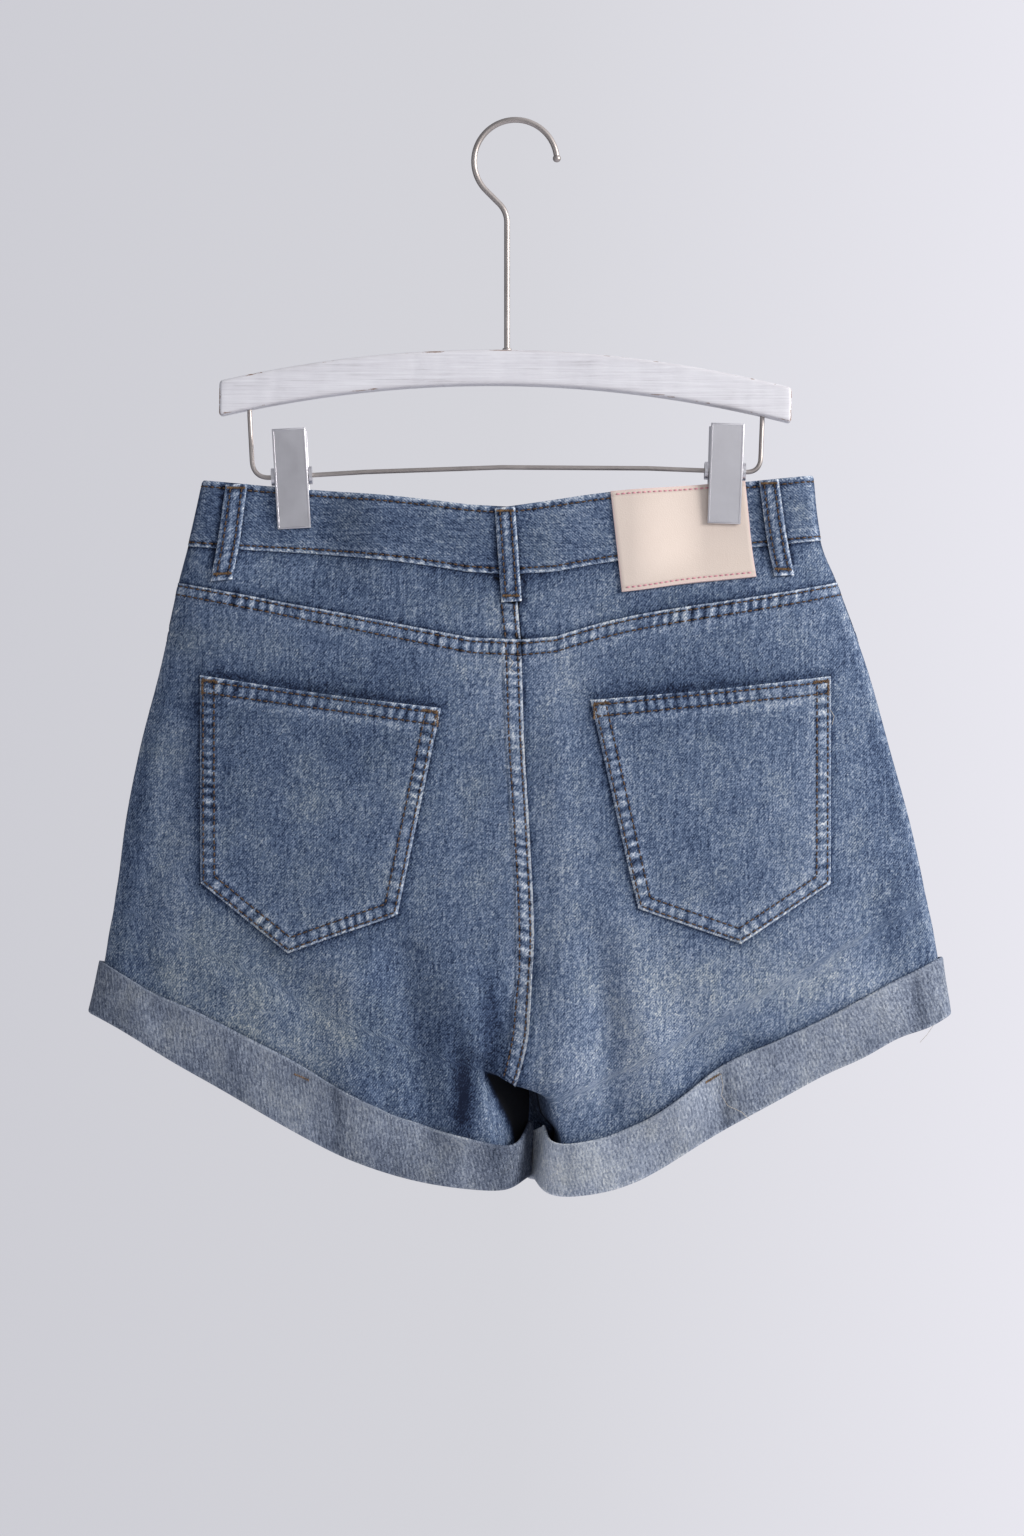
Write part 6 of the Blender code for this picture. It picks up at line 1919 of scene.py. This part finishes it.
def add_jaw(side, face):
    """One jaw: a plate with a pressed rim and turned edges, and two ears round the rod."""
    _, z, _, rod_z, near_cloth, far_cloth = CLIPS[side]
    near = face == BACK
    grip = (near_cloth if near else far_cloth) + 0.3
    middle_y = face * (grip + JAW_SPREAD / 2 + JAW_WALL / 2)
    lean = math.asin(JAW_SPREAD / JAW_HEIGHT)
    bm = bmesh.new()
    add_plate(bm, JAW_WIDTH, JAW_WALL, JAW_HEIGHT)
    bmesh.ops.bevel(bm, geom=list(bm.edges), offset=0.45 * MM, segments=3, affect="EDGES",
                    profile=0.5)
    outside = [f for f in bm.faces if f.normal.y * face > 0.99 and f.calc_area() > 0.0005]
    for width, depth in ((0.9, 0), (0.25, -0.28)):
        bmesh.ops.inset_region(bm, faces=outside, thickness=width * MM, depth=depth * MM)
    pose = moved(0, middle_y, z - rod_z) @ Matrix.Rotation(-face * lean, 4, "X")
    bmesh.ops.transform(bm, matrix=clip_matrix(side) @ pose, verts=bm.verts)
    if near:
        ear_x, wall, radius = (BARREL_LENGTH + 1.2) / 2, 1.2, 3.6
    else:
        ear_x, wall, radius = (JAW_WIDTH + 2) / 2 + 0.3, 2, 5.4
    reach = abs(middle_y) + 0.2
    for sign in (-1, 1):
        add_ear(bm, side, sign * ear_x, wall, radius, face * reach)
        if not near:
            inner = JAW_WIDTH / 2 - 2
            bridge = add_plate(bm, ear_x - inner, JAW_WALL - 0.3, 1.6 * radius)
            place = moved(sign * (ear_x + inner) / 2, face * (reach - JAW_WALL / 2), 0)
            bmesh.ops.transform(bm, matrix=clip_matrix(side) @ place, verts=bridge)
    node = "clip_%s_%s_jaw" % (side, "near" if near else "far")
    mesh = new_mesh(node + "_plate", np.zeros((0, 3)), [], (clip_steel,))
    bm.to_mesh(mesh)
    bm.free()
    add_piece(mesh, JAW_SHARP, (node,))


def add_ear(bm, side, x, wall, radius, reach_y):
    """A flat ear: round at the rod, straight to the jaw, with a hole for the rod."""
    around = 28
    angles = np.linspace(0, 2 * math.pi, around, endpoint=False)
    outline = []
    for angle in angles:
        y, z = radius * math.cos(angle), radius * math.sin(angle)
        if y * reach_y > 0:
            y = reach_y * abs(math.cos(angle)) ** 0.35
            z = 0.92 * radius * math.sin(angle)
        outline.append((y, z))
    hole = [((ROD_R + 0.15) * math.cos(a), (ROD_R + 0.15) * math.sin(a)) for a in angles]
    layers = []
    for shift in (-wall / 2, wall / 2):
        for ring in (outline, hole):
            layers.append([bm.verts.new(clip_matrix(side) @ (Vector((x + shift, y, z)) * MM))
                           for y, z in ring])
    low_out, low_hole, high_out, high_hole = layers
    for k in range(around):
        n = (k + 1) % around
        bm.faces.new((low_out[k], low_out[n], low_hole[n], low_hole[k]))
        bm.faces.new((high_out[n], high_out[k], high_hole[k], high_hole[n]))
        bm.faces.new((low_out[n], low_out[k], high_out[k], high_out[n]))
        bm.faces.new((low_hole[k], low_hole[n], high_hole[n], high_hole[k]))


def add_spring(side):
    """The clip's spring: a close coil of wire round the rod, with a leg behind each plate."""
    way = np.linspace(0, 1, SPRING_TURNS * 22)
    angle = 2 * math.pi * SPRING_TURNS * way
    coil = joined((way - 0.5) * COIL_LENGTH, COIL_R * np.cos(angle), COIL_R * np.sin(angle))
    legs = []
    for face, cloth, start in ((BACK, CLIPS[side][4], coil[0]), (FRONT, CLIPS[side][5], coil[-1])):
        foot = np.array((start[0], face * (cloth + 2.4), -14))
        legs.append(start + (foot - start) * np.linspace(0, 1, 6)[:, None])
    matrix = np.array(clip_matrix(side))
    points, faces = tube(np.concatenate([legs[0][::-1], coil, legs[1]]), SPRING_WIRE_R, 10)
    points = points @ matrix[:3, :3].T + matrix[:3, 3] / MM
    add_parts("clip_%s_spring" % side, [(points, faces)], nickel_wire,
              nodes=("clip_%s_barrel" % side,))


add_hook()
add_rod()
add_bar()
for side in SIDES:
    for face in (BACK, FRONT):
        add_jaw(side, face)
    add_spring(side)


# The button's section as radius and height, from the middle of its face round to its seat.
BUTTON_SECTION = ((0.01, 3.05), (2, 3.05), (4.2, 2.75), (5.6, 2.62), (6.3, 2.9), (7, 3.15),
                  (7.8, 3.1), (8.35, 2.7), (8.5, 2.2), (8.35, 1.8), (7.6, 1.6), (5, 1.5),
                  (3.2, 1.35), (3.1, 0.1), (0.01, 0.05))


def add_button():
    """A shank button with a rolled rim and a plain dished face."""
    low, high = (np.array(v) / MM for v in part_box("button"))
    centre_x, _, centre_z = (low + high) / 2
    angles = np.linspace(0, 2 * math.pi, 48, endpoint=False)
    rings = [joined(centre_x + r * np.cos(angles), low[1] + h, centre_z + r * np.sin(angles))
             for r, h in BUTTON_SECTION]
    add_parts("shank_button", [capped(rings)], button_metal, nodes=("button",))


add_button()

# ---- floor, light and camera


def add_floor():
    bpy.ops.mesh.primitive_circle_add(vertices=96, radius=2.8, fill_type="NGON",
                                      location=(0, 0, -1.6))
    floor = bpy.context.object
    floor.name = "studio_floor"
    material, net, shader = new_material("studio_floor", 0.9, Specular_IOR_Level=0.2)
    place = net.place()
    cloud = net.add(0.5, net.noise(place, 6, 3))
    net.put(shader.inputs["Base Color"],
            net.ramp(cloud, ((0.2, linear(214, 214, 220)), (0.8, linear(222, 222, 228)))))
    floor.data.materials.append(material)


def add_light(name, place, aim, size, power, colour):
    """A round lamp, its size in metres and its power in watts."""
    data = bpy.data.lights.new(name, "AREA")
    data.shape = "DISK"
    data.size = size
    data.energy = power
    data.color = colour
    lamp = add_object(name, data)
    lamp.location = place
    lamp.rotation_euler = (Vector(aim) - Vector(place)).to_track_quat("-Z", "Y").to_euler()


def add_world():
    """A pale room: lighter to the right, with its own strength as seen and as light."""
    world = bpy.data.worlds.new("pale_studio")
    bpy.context.scene.world = world
    world.use_nodes = True
    net = Net(world.node_tree)
    world.node_tree.nodes.clear()
    way = net.node("ShaderNodeTexCoord").outputs["Generated"]
    split = net.node("ShaderNodeSeparateXYZ", None, Vector=way).outputs
    share = net.math("MULTIPLY_ADD", split[0], 3.2, 0.5, clamp=True)
    height = net.math("MULTIPLY_ADD", split[2], 0.45, 0.85)
    seen = net.ramp(share, ((0, linear(205, 205, 212)), (0.5, linear(213, 213, 219)),
                            (1, linear(233, 232, 240))))
    sight = net.node("ShaderNodeBackground", None, Color=seen, Strength=1)
    given = net.ramp(share, ((0, (0.24, 0.25, 0.28, 1)), (0.5, (0.38, 0.39, 0.42, 1)),
                             (0.64, (0.56, 0.57, 0.61, 1)), (1, (0.74, 0.75, 0.8, 1))))
    glow = net.node("ShaderNodeBackground", None, Color=given, Strength=height)
    mixer = net.node("ShaderNodeMixShader")
    output = net.node("ShaderNodeOutputWorld")
    by_sight = net.node("ShaderNodeLightPath").outputs["Is Camera Ray"]
    for socket, value in zip((*mixer.inputs, output.inputs[0]),
                             (by_sight, glow.outputs[0], sight.outputs[0], mixer.outputs[0])):
        net.put(socket, value)


add_floor()
add_world()
add_light("window", (1.95, -0.95, 0.35), (0, 0, -0.4), 0.9, 46, (1, 0.98, 0.97))
add_light("front", (0.5, -2.7, -0.1), (0.1, 0, -0.3), 0.7, 1.5, (0.96, 0.97, 1))
add_light("bounce", (-1.6, -1.6, -0.2), (0, 0, -0.4), 1.6, 4, (0.93, 0.95, 1))

bpy.context.scene.view_settings.view_transform = "Standard"
camera_data = bpy.data.cameras.new("camera")
camera_data.lens = 78.5
camera_data.sensor_width = 36
camera = add_object("camera", camera_data)
camera.location = (-0.0018, -2.012, -0.3876)
camera.rotation_euler = (math.radians(90), 0, 0)
bpy.context.scene.camera = camera
